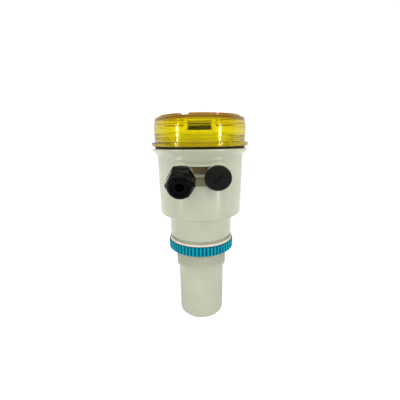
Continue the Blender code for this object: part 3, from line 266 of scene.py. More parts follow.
def spread(tree, value, low, high, start=0.3, end=0.7):
    """A value moved from start..end to low..high."""
    node = tree.nodes.new("ShaderNodeMapRange")
    node.inputs["From Min"].default_value = start
    node.inputs["From Max"].default_value = end
    node.inputs["To Min"].default_value = low
    node.inputs["To Max"].default_value = high
    tree.links.new(value, node.inputs["Value"])
    return node.outputs["Result"]


def feed(tree, socket, value):
    """Set an input to a number, or link an output to it."""
    if isinstance(value, (int, float)):
        socket.default_value = value
    else:
        tree.links.new(value, socket)


def calculate(tree, operation, *values):
    """A Math node of sockets and numbers."""
    node = tree.nodes.new("ShaderNodeMath")
    node.operation = operation
    for socket, value in zip(node.inputs, values):
        feed(tree, socket, value)
    return node.outputs[0]


def mixed(tree, share, first, second):
    """A mix of two numbers or sockets by a share."""
    node = tree.nodes.new("ShaderNodeMix")
    feed(tree, node.inputs["Factor"], share)
    feed(tree, node.inputs["A"], first)
    feed(tree, node.inputs["B"], second)
    return node.outputs["Result"]


def coordinate(tree, axis, source="Object"):
    """One coordinate of the object in metres, or of another source."""
    coords = tree.nodes.new("ShaderNodeTexCoord")
    split = tree.nodes.new("ShaderNodeSeparateXYZ")
    tree.links.new(coords.outputs[source], split.inputs["Vector"])
    return split.outputs[axis]


def distance_from_axis(tree):
    """Distance from the object's Z axis, in metres."""
    x, y = coordinate(tree, "X"), coordinate(tree, "Y")
    squares = calculate(tree, "ADD", calculate(tree, "MULTIPLY", x, x), calculate(tree, "MULTIPLY", y, y))
    return calculate(tree, "SQRT", squares)


def bump(tree, shader, height, strength, distance=0.0003):
    """A bump map on the shader."""
    node = tree.nodes.new("ShaderNodeBump")
    node.inputs["Strength"].default_value = strength
    node.inputs["Distance"].default_value = distance
    tree.links.new(height, node.inputs["Height"])
    tree.links.new(node.outputs["Normal"], shader.inputs["Normal"])


# Materials

def scaled(colour, factor):
    """A colour made darker or lighter."""
    return tuple(c * factor for c in colour)


def plastic(name, colour, rough, grain=0.04, patch=60.0, vary=0.05, gloss=0.5):
    """Moulded plastic: faint cloudiness, uneven gloss and a fine surface grain."""
    made, tree, shader = node_material(name)
    cloud = add_noise(tree, patch, 3.0)
    tone = ramp(tree, cloud, (0.35, scaled(colour, 1.0 - vary)), (0.65, scaled(colour, 1.0 + vary)))
    tree.links.new(tone, shader.inputs["Base Color"])
    wear = add_noise(tree, patch * 6.0, 5.0)
    tree.links.new(spread(tree, wear, rough * 0.85, rough * 1.2), shader.inputs["Roughness"])
    shader.inputs["Specular IOR Level"].default_value = gloss
    bump(tree, shader, add_noise(tree, 2200.0, 2.0), grain)
    return made


def pale_plastic(name, low, high):
    """The housing's pale moulding, a little milky, with light sunk into it."""
    made, tree, shader = node_material(name)
    tree.links.new(ramp(tree, add_noise(tree, 45.0), (0.3, low), (0.7, high)), shader.inputs["Base Color"])
    tree.links.new(spread(tree, add_noise(tree, 120.0, 3.0), 0.20, 0.27), shader.inputs["Roughness"])
    shader.inputs["Subsurface Weight"].default_value = 0.12
    shader.inputs["Subsurface Radius"].default_value = (0.0016, 0.0015, 0.0011)
    shader.inputs["Subsurface Scale"].default_value = 1.0
    bump(tree, shader, add_noise(tree, 500.0, 2.0), 0.015)
    return made


def pocket_shade_paint(level):
    """Painted shade inside the bridge's pocket: the moulding darker and browner towards its top."""
    made, tree, shader = node_material("pocket_painted_shade")
    height = spread(tree, coordinate(tree, "Z"), 0.0, 1.0, (level - 6.0) * MM, (level + 6.0) * MM)
    cloud = spread(tree, add_noise(tree, 120.0), -0.12, 0.12)
    tone = ramp(tree, calculate(tree, "ADD", height, cloud), (0.3, POCKET_SHADE_LOWER), (0.7, POCKET_SHADE_UPPER))
    tree.links.new(tone, shader.inputs["Base Color"])
    tree.links.new(spread(tree, add_noise(tree, 260.0, 5.0), 0.34, 0.46), shader.inputs["Roughness"])
    bump(tree, shader, add_noise(tree, 900.0, 3.0), 0.05)
    return made


def colour_through(tree, colour, density):
    """Colour that deepens with the thickness that light crosses."""
    through = tree.nodes.new("ShaderNodeVolumeAbsorption")
    through.inputs["Color"].default_value = colour
    through.inputs["Density"].default_value = density
    tree.links.new(through.outputs["Volume"], tree.nodes["Material Output"].inputs["Volume"])


def let_lamps_in(tree, shader):
    """Let the lamps light what lies behind a clear moulding."""
    clear = tree.nodes.new("ShaderNodeBsdfTransparent")
    choice = tree.nodes.new("ShaderNodeMixShader")
    path = tree.nodes.new("ShaderNodeLightPath")
    tree.links.new(path.outputs["Is Shadow Ray"], choice.inputs["Fac"])
    tree.links.new(shader.outputs["BSDF"], choice.inputs[1])
    tree.links.new(clear.outputs["BSDF"], choice.inputs[2])
    tree.links.new(choice.outputs["Shader"], tree.nodes["Material Output"].inputs["Surface"])


def amber_plastic(band_z, band_radius, inside_z):
    """The cover's clear amber moulding, deeper along its top edge, with faint flow marks."""
    made, tree, shader = node_material("amber_moulding")
    level = coordinate(tree, "Z")
    outer = calculate(tree, "GREATER_THAN", distance_from_axis(tree), band_radius * MM)
    edge = calculate(tree, "MULTIPLY", outer, calculate(tree, "GREATER_THAN", level, band_z * MM))
    tree.links.new(ramp(tree, edge, (0.0, AMBER_TINT), (1.0, AMBER_EDGE)), shader.inputs["Base Color"])
    clearness = spread(tree, edge, 1.0, AMBER_EDGE_CLEARNESS, 0.0, 1.0)
    tree.links.new(clearness, shader.inputs["Transmission Weight"])
    underside = calculate(tree, "COMPARE", level, inside_z * MM, 0.3 * MM)
    haze = calculate(tree, "MULTIPLY", underside, UNDERSIDE_HAZE)
    smooth = spread(tree, add_noise(tree, 300.0), 0.05, 0.10)
    tree.links.new(calculate(tree, "ADD", smooth, haze), shader.inputs["Roughness"])
    shader.inputs["IOR"].default_value = 1.49
    bump(tree, shader, add_noise(tree, 160.0, 2.0, (1.0, 1.0, 2.5)), 0.10)
    colour_through(tree, AMBER_THROUGH, AMBER_DENSITY)
    let_lamps_in(tree, shader)
    return made


def teal_plastic_valley_shade(valley, crest):
    """The lock nut's moulding, with painted shade that darkens it in the valleys between its ribs."""
    made, tree, shader = node_material("teal_moulding_valley_shade")
    height = spread(tree, distance_from_axis(tree), 0.0, 1.0, valley * MM, crest * MM)
    cloud = spread(tree, add_noise(tree, 400.0), -0.06, 0.06)
    tone = ramp(tree, calculate(tree, "ADD", height, cloud), (0.1, SHADED_VALLEY_TEAL), (0.9, CREST_TEAL))
    tree.links.new(tone, shader.inputs["Base Color"])
    tree.links.new(spread(tree, add_noise(tree, 600.0), 0.30, 0.42), shader.inputs["Roughness"])
    shader.inputs["Specular IOR Level"].default_value = 0.12
    bump(tree, shader, add_noise(tree, 2200.0, 2.0), 0.05)
    return made


def clear_pane():
    """The display's clear pane, with faint wipe marks."""
    made, tree, shader = node_material("clear_pane")
    haze = add_noise(tree, 150.0, 4.0, (1.0, 4.0, 1.0))
    tone = ramp(tree, haze, (0.3, (0.90, 0.93, 0.90)), (0.7, (0.97, 0.98, 0.97)))
    tree.links.new(tone, shader.inputs["Base Color"])
    tree.links.new(spread(tree, haze, 0.02, 0.07), shader.inputs["Roughness"])
    shader.inputs["Transmission Weight"].default_value = 1.0
    shader.inputs["IOR"].default_value = 1.04
    return made


def board_laminate():
    """Circuit board: solder mask over faint copper tracks."""
    made, tree, shader = node_material("board_laminate")
    coords = tree.nodes.new("ShaderNodeTexCoord")
    brick = tree.nodes.new("ShaderNodeTexBrick")
    brick.inputs["Scale"].default_value = 220.0
    brick.inputs["Mortar Size"].default_value = 0.06
    brick.inputs["Color1"].default_value = (0.012, 0.110, 0.045, 1.0)
    brick.inputs["Color2"].default_value = (0.015, 0.135, 0.052, 1.0)
    brick.inputs["Mortar"].default_value = (0.045, 0.235, 0.090, 1.0)
    tree.links.new(coords.outputs["Object"], brick.inputs["Vector"])
    tree.links.new(brick.outputs["Color"], shader.inputs["Base Color"])
    tree.links.new(spread(tree, add_noise(tree, 500.0), 0.28, 0.42), shader.inputs["Roughness"])
    bump(tree, shader, brick.outputs["Fac"], 0.2, 0.0001)
    return made


def drawn_metal(name, colour, rough):
    """Plated metal with fine drawn lines."""
    made, tree, shader = node_material(name)
    lines = add_noise(tree, 900.0, 3.0, (1.0, 1.0, 6.0))
    tone = ramp(tree, lines, (0.3, scaled(colour, 0.85)), (0.7, scaled(colour, 1.12)))
    tree.links.new(tone, shader.inputs["Base Color"])
    tree.links.new(spread(tree, lines, rough * 0.8, rough * 1.3), shader.inputs["Roughness"])
    shader.inputs["Metallic"].default_value = 1.0
    bump(tree, shader, lines, 0.06, 0.0001)
    return made


pale = pale_plastic("pale_moulding", PALE_LOW, PALE_HIGH)
cream = plastic("cream_silicone", (0.86, 0.80, 0.68), 0.42)
nylon = plastic("black_nylon", (0.004, 0.004, 0.004), 0.15, 0.03, gloss=0.08)
plug_nylon = plastic("plug_nylon", (0.014, 0.014, 0.013), 0.30, 0.05, gloss=0.15)
rubber = plastic("black_rubber", (0.006, 0.006, 0.006), 0.55, 0.10, gloss=0.25)


# The pieces that stay as modelled get finer finishes

def finish_cad_nodes():
    """New materials on the carried-over nodes."""
    plate = plastic("plate_moulding", (0.86, 0.85, 0.74), 0.42)
    crystal = plastic("display_crystal", (0.020, 0.030, 0.012), 0.50, 0.0, 200.0, 0.12, 0.0)
    board = board_laminate()
    steel = drawn_metal("zinc_plate", (0.60, 0.60, 0.57), 0.30)
    ferrite = plastic("ferrite", (0.045, 0.045, 0.05), 0.55, 0.15, 300.0)
    can = plastic("capacitor_sleeve", (0.03, 0.04, 0.16), 0.30, 0.02)
    epoxy = plastic("filled_resin", (0.09, 0.08, 0.07), 0.38)
    finishes = {
        "face_plate": plate, "lead_plug": plate, "display": crystal, "display_pane": clear_pane(),
        "display_board": board, "main_board": board, "pulse_transformer": ferrite, "board_header": ferrite,
        "terminal_block": plastic("terminal_moulding", (0.02, 0.24, 0.09), 0.40),
        "piezo_disc": plastic("piezo_ceramic", (0.58, 0.50, 0.36), 0.50, 0.08),
        "matching_disc": epoxy, "backing_block": epoxy, "potting": epoxy, "temperature_sensor": steel,
        "transducer_lead": rubber, "capacitor_1": can, "capacitor_2": can,
    }
    keycap = plastic("key_rubber", (0.10, 0.11, 0.12), 0.5)
    switch = plastic("switch_moulding", (0.03, 0.03, 0.03), 0.45)
    for index in (1, 2, 3):
        finishes[f"key_{index}"] = keycap
        finishes[f"key_switch_{index}"] = switch
        for kind in ("plate_spacer", "board_spacer", "plate_screw"):
            finishes[f"{kind}_{index}"] = steel
    for index in range(1, 7):
        finishes[f"terminal_screw_{index}"] = steel
    for node, material in finishes.items():
        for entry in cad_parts[node].material_slots:
            entry.material = material


finish_cad_nodes()


# Ports: their axes and the frame of each, +Z out of the housing

PORT_TILT = math.radians(18.0)
PORT_Z = 177.7
PORT_REACH = 51.0
PORT_X = 17.7


def port_frame(side):
    """Frame of the gland's port for side -1, the plug's for 1, and the bridge's middle for 0."""
    place = Matrix.Translation(Vector((side * PORT_X, -PORT_REACH, PORT_Z)) * MM)
    return place @ Matrix.Rotation(math.radians(90.0) + PORT_TILT, 4, "X")


# Housing: turned body, port block, pocketed bridge, inner room and the mouth's thread

MOUTH_RADIUS = 46.6
MOUTH_CORE = 46.05
MOUTH_PITCH = 4.0
RECESS_RADIUS = 45.0
BODY_RADIUS_LOW = 46.95
BODY_RADIUS_HIGH = 47.95
BODY_WALL = 4.0
NECK_RADIUS = 36.3
NECK_BORE = 32.0
FLANGE_Z = SEAT_Z - 1.7
BODY_Z = FLANGE_Z - 70.5
SHOULDER_Z = BODY_Z - 2.6
COVE = 4.4
BOSS_RADIUS = 12.5
PORT_BORE = 10.2
BRIDGE_HALF = 11.0
POCKET_HALF = (10.0, 9.9)
POCKET_REACH = 46.6
RIB_HALF = 1.2
BLOCK_DEPTH = 8.05
BOSS_DEPTH = 18.5


def housing_outside():
    """The housing's outer profile from the mouth down to the neck."""
    return [
        (0.0, MOUTH_Z), (MOUTH_CORE, MOUTH_Z, 0.5), (MOUTH_CORE, SEAT_Z, 0.4), (FLANGE_RADIUS, SEAT_Z, 0.35),
        (FLANGE_RADIUS, FLANGE_Z, 0.6), (FLANGE_RADIUS - 0.85, FLANGE_Z - 0.1, 0.4),
        (BODY_RADIUS_HIGH, FLANGE_Z - COVE * 1.1, COVE), (BODY_RADIUS_HIGH, FLANGE_Z - COVE * 2.2),
        (BODY_RADIUS_LOW, BODY_Z, 2.4), (NECK_RADIUS + 0.2, SHOULDER_Z, 0.6), (NECK_RADIUS, NECK_Z, 3.3),
        (0.0, NECK_Z),
    ]


def housing_room():
    """The space inside the housing, from above its mouth to below its neck."""
    return [
        (0.0, MOUTH_Z + 4.0), (RECESS_RADIUS, MOUTH_Z + 4.0), (RECESS_RADIUS, PLATE_Z - GAP, 0.3),
        (BODY_RADIUS_HIGH - BODY_WALL, PLATE_Z - GAP), (BODY_RADIUS_HIGH - BODY_WALL, FLANGE_Z),
        (BODY_RADIUS_LOW - BODY_WALL, BODY_Z + BODY_WALL, 2.2), (NECK_BORE, SHOULDER_Z + BODY_WALL),
        (NECK_BORE, NECK_Z - 4.0), (0.0, NECK_Z - 4.0),
    ]


def paint_pocket_shade(thing):
    """Give the faces inside the bridge's pocket the painted shade, browner towards its top."""
    thing.data.materials.append(pocket_shade_paint(PORT_Z))
    half_x, half_z = POCKET_HALF
    for face in thing.data.polygons:
        x, y, z = face.center / MM
        in_outline = abs(x) < half_x + 0.1 and abs(z - PORT_Z) < half_z + 0.1
        in_depth = -PORT_REACH - 2.0 < y < -POCKET_REACH + 1.2
        on_rib = abs(z - PORT_Z - (y + PORT_REACH) * math.tan(PORT_TILT)) < RIB_HALF + 0.4
        if in_outline and in_depth and not on_rib:
            face.material_index = 1


def make_housing():
    """The housing's moulding."""
    body = add_object("housing_shell", turned(housing_outside()))
    middle = port_frame(0)
    bridge = box((-PORT_X, -BRIDGE_HALF, -BLOCK_DEPTH), (PORT_X, BRIDGE_HALF, -0.4), 0.4, middle)
    boolean(body, bridge, "UNION")
    half_x, half_z = POCKET_HALF
    pocket = box((-half_x, -75.0, PORT_Z - half_z), (half_x, -POCKET_REACH, PORT_Z + half_z))
    boolean(body, pocket, "DIFFERENCE")
    rib = box((-half_x - 1.0, -RIB_HALF, -BLOCK_DEPTH), (half_x + 1.0, RIB_HALF, -1.8), 0.25, middle)
    boolean(body, rib, "UNION")
    for side in (-1, 1):
        boss = [(0.0, 0.0), (BOSS_RADIUS, 0.0, 0.5), (BOSS_RADIUS, -BOSS_DEPTH), (0.0, -BOSS_DEPTH)]
        boolean(body, turned(boss, 72, port_frame(side)), "UNION")
    boolean(body, turned(housing_room()), "DIFFERENCE")
    for side in (-1, 1):
        bore = [(0.0, 13.0), (PORT_BORE, 13.0), (PORT_BORE, -25.5), (0.0, -25.5)]
        boolean(body, turned(bore, 64, port_frame(side)), "DIFFERENCE")
    shade(body, pale)
    # painted shade on the faces inside the bridge's pocket
    paint_pocket_shade(body)
    return body


def make_mouth_thread():
    """Coarse thread round the mouth, on which the cover turns."""
    shape = bmesh.new()
    add_thread(shape, MOUTH_CORE, MOUTH_RADIUS, SEAT_Z + 3.5, MOUTH_Z - 1.6, MOUTH_PITCH)
    return shade(add_object("mouth_thread", weld(shape)), pale)


stand_for(make_housing(), "root", "housing")
stand_for(make_mouth_thread(), "root", "housing")


# Probe: one moulding with its sound face, taper, thread, collar and spigot

COLLAR_HEIGHT = 2.4
THREAD_LENGTH = 36.5
COLLAR_TOP = NECK_Z - GAP
COLLAR_Z = COLLAR_TOP - COLLAR_HEIGHT
PROBE_TOP = COLLAR_Z - THREAD_LENGTH
PROBE_RADIUS_LOW = 26.9
PROBE_RADIUS_HIGH = 27.4
THREAD_CREST = 30.0
THREAD_CORE = 29.15
THREAD_PITCH = 2.0
SPIGOT_RADIUS = 31.7
SPIGOT_TOP = NECK_Z + 14.0


def make_probe():
    """The probe's moulding with its helical thread."""
    corners = [
        (0.0, 2.5), (23.5, 2.5, 1.0), (24.2, PROBE_TOP), (26.4, PROBE_TOP + 1.8), (26.4, SPIGOT_TOP),
        (SPIGOT_RADIUS, SPIGOT_TOP, 0.5), (SPIGOT_RADIUS, COLLAR_TOP), (COLLAR_RADIUS, COLLAR_TOP, 0.4),
        (COLLAR_RADIUS, COLLAR_Z), (THREAD_CORE, COLLAR_Z), (THREAD_CORE, PROBE_TOP + 4.0, 0.4),
        (THREAD_CREST, PROBE_TOP + 3.6, 0.3), (THREAD_CREST, PROBE_TOP + 1.8, 0.8),
        (PROBE_RADIUS_HIGH, PROBE_TOP, 0.6), (PROBE_RADIUS_LOW, 3.6, 3.0),
        (PROBE_RADIUS_LOW - 0.15, 2.4, 0.6), (PROBE_RADIUS_LOW - 2.3, 0.0, 1.6), (0.0, 0.0),
    ]
    points = rounded(corners)
    shape = bmesh.new()
    sweep_section(shape, even(TURN_STEPS), lambda theta: points, False)
    add_thread(shape, THREAD_CORE, THREAD_CREST, PROBE_TOP + 5.0, COLLAR_Z - 1.0, THREAD_PITCH)
    return shade(add_object("probe_body", weld(shape)), pale)


stand_for(make_probe(), "root", "probe_shell")


# Cover: cap with flange, bulging side, sloping shoulder, inner thread and a rim with four notches

COVER_TOP = RIM_Z - 2.0
COVER_RADIUS = 50.4
COVER_BULGE_RADIUS = 50.8
COVER_TOP_RADIUS = 49.1
COVER_SLOPE_Z = COVER_TOP - 9.0
EDGE_BAND = 2.6  # height of the deeper colour along the top edge
COVER_FLANGE_TOP = COVER_Z + 4.3
COVER_BORE = 47.3
COVER_THREAD_DEPTH = 0.4
COVER_STEP_Z = COVER_Z + 21.5
COVER_STEP_RADIUS = 46.0
COVER_INSIDE_Z = COVER_TOP - 2.6
EDGE_RADIUS = COVER_STEP_RADIUS - 5.0  # where the deeper colour starts on the top
RIM_RADIUS = 44.9
RIM_INNER = 41.9
RIM_MIDDLE = (RIM_RADIUS + RIM_INNER) / 2
NOTCH_CENTRE = math.radians(-108.2)
NOTCH_HALF = 3.95 / RIM_MIDDLE
NOTCH_EASE = 0.9 / RIM_MIDDLE


def notch_level(theta):
    """1 on the rim, 0 in a notch, with short eased ends."""
    quarter = math.pi / 2
    offset = abs((theta - NOTCH_CENTRE + quarter / 2) % quarter - quarter / 2)
    return ease((offset - NOTCH_HALF) / NOTCH_EASE + 0.5)


def cover_angles():
    """Angles round the cover, closer together at the notches' ends."""
    angles = set(round(a, 6) for a in even(TURN_STEPS))
    for quarter in range(4):
        for side in (-1, 1):
            edge = NOTCH_CENTRE + quarter * math.pi / 2 + side * NOTCH_HALF
            for step in range(-4, 5):
                angles.add(round((edge + NOTCH_EASE * step / 7) % (2 * math.pi), 6))
    return sorted(angles)


def cover_thread(theta):
    """The bore's wall with its thread, from the flange up to the mouth's level."""
    low, high, step = COVER_Z + 1.5, COVER_Z + 12.5, 0.5
    points = []
    for index in range(int((high - low) / step) + 1):
        level = low + index * step
        wave = ease(1.5 * math.cos(2 * math.pi * ((level - low) / MOUTH_PITCH - theta / (2 * math.pi))))
        fade = min(1.0, (level - low) / 1.5, (high - level) / 1.5)
        points.append((COVER_BORE - COVER_THREAD_DEPTH * wave * fade, level))
    return points


def cover_section(theta):
    """The cover's section at an angle, from the top's middle round the outside to the inside."""
    rise = COVER_TOP + 0.2 + 1.8 * notch_level(theta)
    outside = rounded([
        (0.0, COVER_TOP), (RIM_INNER, COVER_TOP, 0.3), (RIM_INNER, rise, 0.08), (RIM_RADIUS, rise, 0.08),
        (RIM_RADIUS, COVER_TOP, 0.05), (COVER_TOP_RADIUS, COVER_TOP, 0.8),
        (COVER_TOP_RADIUS + 0.5, COVER_TOP - EDGE_BAND), (COVER_BULGE_RADIUS, COVER_SLOPE_Z, 1.5),
        (COVER_RADIUS, COVER_FLANGE_TOP, 0.6), (COVER_FLANGE_RADIUS, COVER_FLANGE_TOP, 0.8),
        (COVER_FLANGE_RADIUS, COVER_Z, 0.8), (COVER_BORE, COVER_Z),
    ], 4)
    inside = rounded([
        (COVER_BORE, COVER_Z + 14.0), (COVER_BORE, COVER_STEP_Z, 0.3), (COVER_STEP_RADIUS, COVER_STEP_Z, 0.3),
        (COVER_STEP_RADIUS, COVER_INSIDE_Z, 1.6), (0.0, COVER_INSIDE_Z),
    ], 4)
    return outside + cover_thread(theta) + inside


def make_cover():
    """The amber cap."""
    shape = bmesh.new()
    sweep_section(shape, cover_angles(), cover_section, False)
    amber = amber_plastic(COVER_TOP - EDGE_BAND, EDGE_RADIUS, COVER_INSIDE_Z)
    return shade(add_object("cover_cap", weld(shape)), amber, 35.0)


def make_seal():
    """The flat seal between the flanges."""
    inner, middle = MOUTH_RADIUS + GAP, (SEAL_Z + SEAL_TOP) / 2
    corners = [
        (inner, middle), (inner, SEAL_TOP, 0.3), (SEAL_RADIUS, SEAL_TOP, 0.5), (SEAL_RADIUS, SEAL_Z, 0.5),
        (inner, SEAL_Z, 0.3),
    ]
    return shade(add_object("seal_ring", turned(corners, ring=True)), rubber)


stand_for(make_cover(), "cover", "cover")
stand_for(make_seal(), "cover_seal", "cover_seal")


# Lock nut with rounded ribs, and the gasket above it

RIBS = 58
RIB_DEPTH = 1.1
NUT_BORE = 30.35


def rib_height(theta):
    """0 in a valley, 1 on a rib's flat crest."""
    share = (theta * RIBS / (2 * math.pi)) % 1.0
    return ease((0.62 - abs(share - 0.5) * 2) / 0.24)


def nut_section(theta):
    """The nut's section, whose grip rises and falls with the ribs and runs out at both edges."""
    valley = NUT_RADIUS - RIB_DEPTH
    crest = valley + RIB_DEPTH * rib_height(theta)
    edge = (valley + crest) / 2
    top, low = NUT_TOP, NUT_Z
    return [
        (NUT_BORE, top), (NUT_BORE + 1.0, top), (36.0, top), (36.9, top - 0.05), (edge - 0.2, top - 0.2),
        (edge + 0.1, top - 0.45), (crest, top - 0.9), (crest, top - 2.7), (crest, (top + low) / 2),
        (crest, low + 2.6), (crest, low + 0.9), (edge, low + 0.3), (edge - 0.25, low + 0.05), (36.4, low),
        (31.4, low), (NUT_BORE, low + 1.0),
    ]


def make_nut():
    """The ribbed ring nut."""
    shape = bmesh.new()
    sweep_section(shape, even(RIBS * 12), nut_section, True)
    # the nut's teal carries painted shade in the valleys between its ribs
    return shade(add_object("nut_ring", weld(shape)), teal_plastic_valley_shade(NUT_RADIUS - RIB_DEPTH, NUT_RADIUS), 40.0)


def make_gasket():
    """The cream gasket, pressed up round the collar, with a lip along its rim."""
    face, bed, lip = GASKET_Z + 1.3, GASKET_LIP_Z - 0.3, GASKET_RADIUS - 1.6
    corners = [
        (NUT_BORE, face - 0.6), (NUT_BORE, face), (COLLAR_RADIUS + 0.4, face), (COLLAR_RADIUS + 0.6, bed),
        (lip, bed, 0.3), (lip + 0.2, GASKET_LIP_Z, 0.3), (GASKET_RADIUS, GASKET_LIP_Z, 0.6),
        (GASKET_RADIUS, GASKET_Z, 0.3), (NUT_BORE, GASKET_Z),
    ]
    return shade(add_object("gasket_ring", turned(corners, ring=True)), cream)


stand_for(make_nut(), "lock_nut", "lock_nut")
stand_for(make_gasket(), "gasket", "sealing_gasket")


# Cable gland and blanking plug; levels run out along the port's axis from the boss's seat

HEX_INRADIUS = 12.5
HEX_CORNER = 14.43
HEX_BACK = 2.1
HEX_FRONT = 8.1
CAP_BACK = 10.1
CAP_FRONT = 25.35
SHANK_END = -10.5
SHANK_RADIUS = 9.9
SHANK_BORE = 6.2
CAP_BORE = 6.6
MALE_RADIUS = 10.4
MALE_FRONT = 20.3
CAGE_RADIUS = 7.8
CAGE_BACK = 9.3
PLUG_RADIUS = 13.0
PLUG_FRONT = 5.5
PLUG_DISH = 0.3
WASHER_BORE = 10.2
WASHER_RADIUS = 11.9
SLOT_HALF = (5.5, 0.85)
SLOT_DEPTH = 1.8
SLOT_TURN = math.radians(49.0)


def hex_side(theta, limit=HEX_CORNER):
    """Distance of a hexagon's side from the axis, with softened corners at theta 0 and each sixth turn."""
    sixth = math.pi / 3
    corner = abs((theta + sixth / 2) % sixth - sixth / 2)
    side = HEX_INRADIUS / math.cos(sixth / 2 - corner)
    soft = 0.012 * max(0.0, 1.0 - corner / 0.07) ** 2
    return min(side * (1.0 - soft), limit)


def shank_section(theta):
    """The gland's body: shank, chamfered hexagon, male thread's core and the cage's bore."""
    return [
        (SHANK_BORE, SHANK_END), (9.5, SHANK_END), (SHANK_RADIUS, SHANK_END + 0.6), (SHANK_RADIUS, HEX_BACK),
        (hex_side(theta, 13.45) - 0.3, HEX_BACK), (hex_side(theta, 13.95), HEX_BACK + 0.4),
        (hex_side(theta), HEX_BACK + 1.1), (hex_side(theta), HEX_FRONT - 1.1),
        (hex_side(theta, 13.95), HEX_FRONT - 0.4), (hex_side(theta, 13.45) - 0.3, HEX_FRONT - 0.05),
        (MALE_RADIUS, HEX_FRONT), (MALE_RADIUS, MALE_FRONT - 0.7), (9.8, MALE_FRONT),
        (CAGE_RADIUS, MALE_FRONT), (CAGE_RADIUS, CAGE_BACK), (SHANK_BORE, CAGE_BACK),
    ]


def cap_section(theta):
    """The gland's domed nut: a hexagon that runs out into a round dome with a rolled lip round its hole."""
    nose = rounded([
        (12.3, CAP_FRONT - 5.2), (11.6, CAP_FRONT - 2.6, 1.5), (9.4, CAP_FRONT, 0.9),
        (CAP_BORE, CAP_FRONT, 1.0), (CAP_BORE, CAP_FRONT - 1.6),
    ], 5)
    return [
        (10.8, CAP_BACK), (hex_side(theta, 13.5) - 0.35, CAP_BACK), (hex_side(theta, 13.95), CAP_BACK + 0.4),
        (hex_side(theta), CAP_BACK + 1.1), (hex_side(theta), CAP_BACK + 7.4),
        (hex_side(theta, 13.9), CAP_BACK + 8.3), (hex_side(theta, 13.2), CAP_BACK + 8.9),
        (12.6, CAP_BACK + 9.4), *nose,
        (CAGE_RADIUS, CAP_FRONT - 1.6), (10.75, MALE_FRONT + 0.3), (10.75, CAP_BACK + 0.5),
    ]


def port_piece(name, section, material, side, thread=None):
    """A piece swept about a port's axis, with a thread if one is given."""
    shape = bmesh.new()
    sweep_section(shape, even(TURN_STEPS), section, True)
    if thread:
        add_thread(shape, *thread, per_turn=48)
    return shade(add_object(name, weld(shape, port_frame(side))), material)


def make_port_pieces():
    """The gland's four pieces and the plug's washer."""
    washer = rounded([
        (WASHER_BORE, 1.0), (WASHER_BORE, 1.8), (WASHER_RADIUS, 1.8, 0.35), (WASHER_RADIUS, GAP, 0.35),
        (WASHER_BORE, GAP),
    ])
    insert = rounded([(4.6, 16.0), (4.6, 22.6, 0.6), (7.5, 22.6, 0.8), (7.5, 9.6, 0.3), (4.6, 9.6, 0.4)])
    male = (MALE_RADIUS - 0.05, MALE_RADIUS + 0.3, HEX_FRONT + 0.5, HEX_FRONT + 3.3, 1.5)
    ring = port_piece("gland_ring", lambda theta: washer, rubber, -1)
    stand_for(ring, "root", "gland_washer")
    shank = port_piece("gland_shank", shank_section, nylon, -1, male)
    stand_for(shank, "root", "gland_body")
    tube = port_piece("gland_insert", lambda theta: insert, rubber, -1)
    stand_for(tube, "seal_insert", "gland_seal_insert")
    cap = port_piece("gland_cap", cap_section, nylon, -1)
    stand_for(cap, "dome_nut", "gland_dome_nut")
    ring = port_piece("plug_ring", lambda theta: washer, rubber, 1)
    stand_for(ring, "plug_washer", "plug_washer")


def make_plug():
    """The blanking plug: a dished round head with a driver slot, hollow from behind."""
    corners = [
        (0.0, PLUG_FRONT - PLUG_DISH), (10.9, PLUG_FRONT - PLUG_DISH, 0.2), (11.3, PLUG_FRONT, 0.3),
        (PLUG_RADIUS, PLUG_FRONT, 0.9), (PLUG_RADIUS, HEX_BACK, 0.3), (SHANK_RADIUS, HEX_BACK),
        (SHANK_RADIUS, SHANK_END, 0.8), (7.2, SHANK_END), (7.2, HEX_BACK, 1.0), (0.0, HEX_BACK),
    ]
    plug = add_object("plug_head", turned(corners, 96))
    (x, y), low, high = SLOT_HALF, PLUG_FRONT - SLOT_DEPTH, PLUG_FRONT + SLOT_DEPTH
    slot = box((-x, -y, low), (x, y, high), 0.0, Matrix.Rotation(SLOT_TURN, 4, "Z"))
    boolean(plug, slot, "DIFFERENCE")
    plug.data.transform(port_frame(1))
    return shade(plug, plug_nylon)


make_port_pieces()
stand_for(make_plug(), "blanking_plug", "blanking_plug")


# Floor and world: white where the camera, glass and the object's back-facing gloss see them

BACKDROP_GLOW = 0.60
WORLD_LIGHT = 0.47
FRONT_GLOSS = 0.10


def gloss_from_behind(tree, source):
    """What gloss sees: dim on the camera's side, full behind the object."""
    return spread(tree, coordinate(tree, "Y", source), FRONT_GLOSS, 1.0, -0.2, 0.3)


def seen_directly(tree, path):
    """1 for rays from the camera or through glass."""
    return calculate(tree, "MAXIMUM", path.outputs["Is Camera Ray"], path.outputs["Is Transmission Ray"])


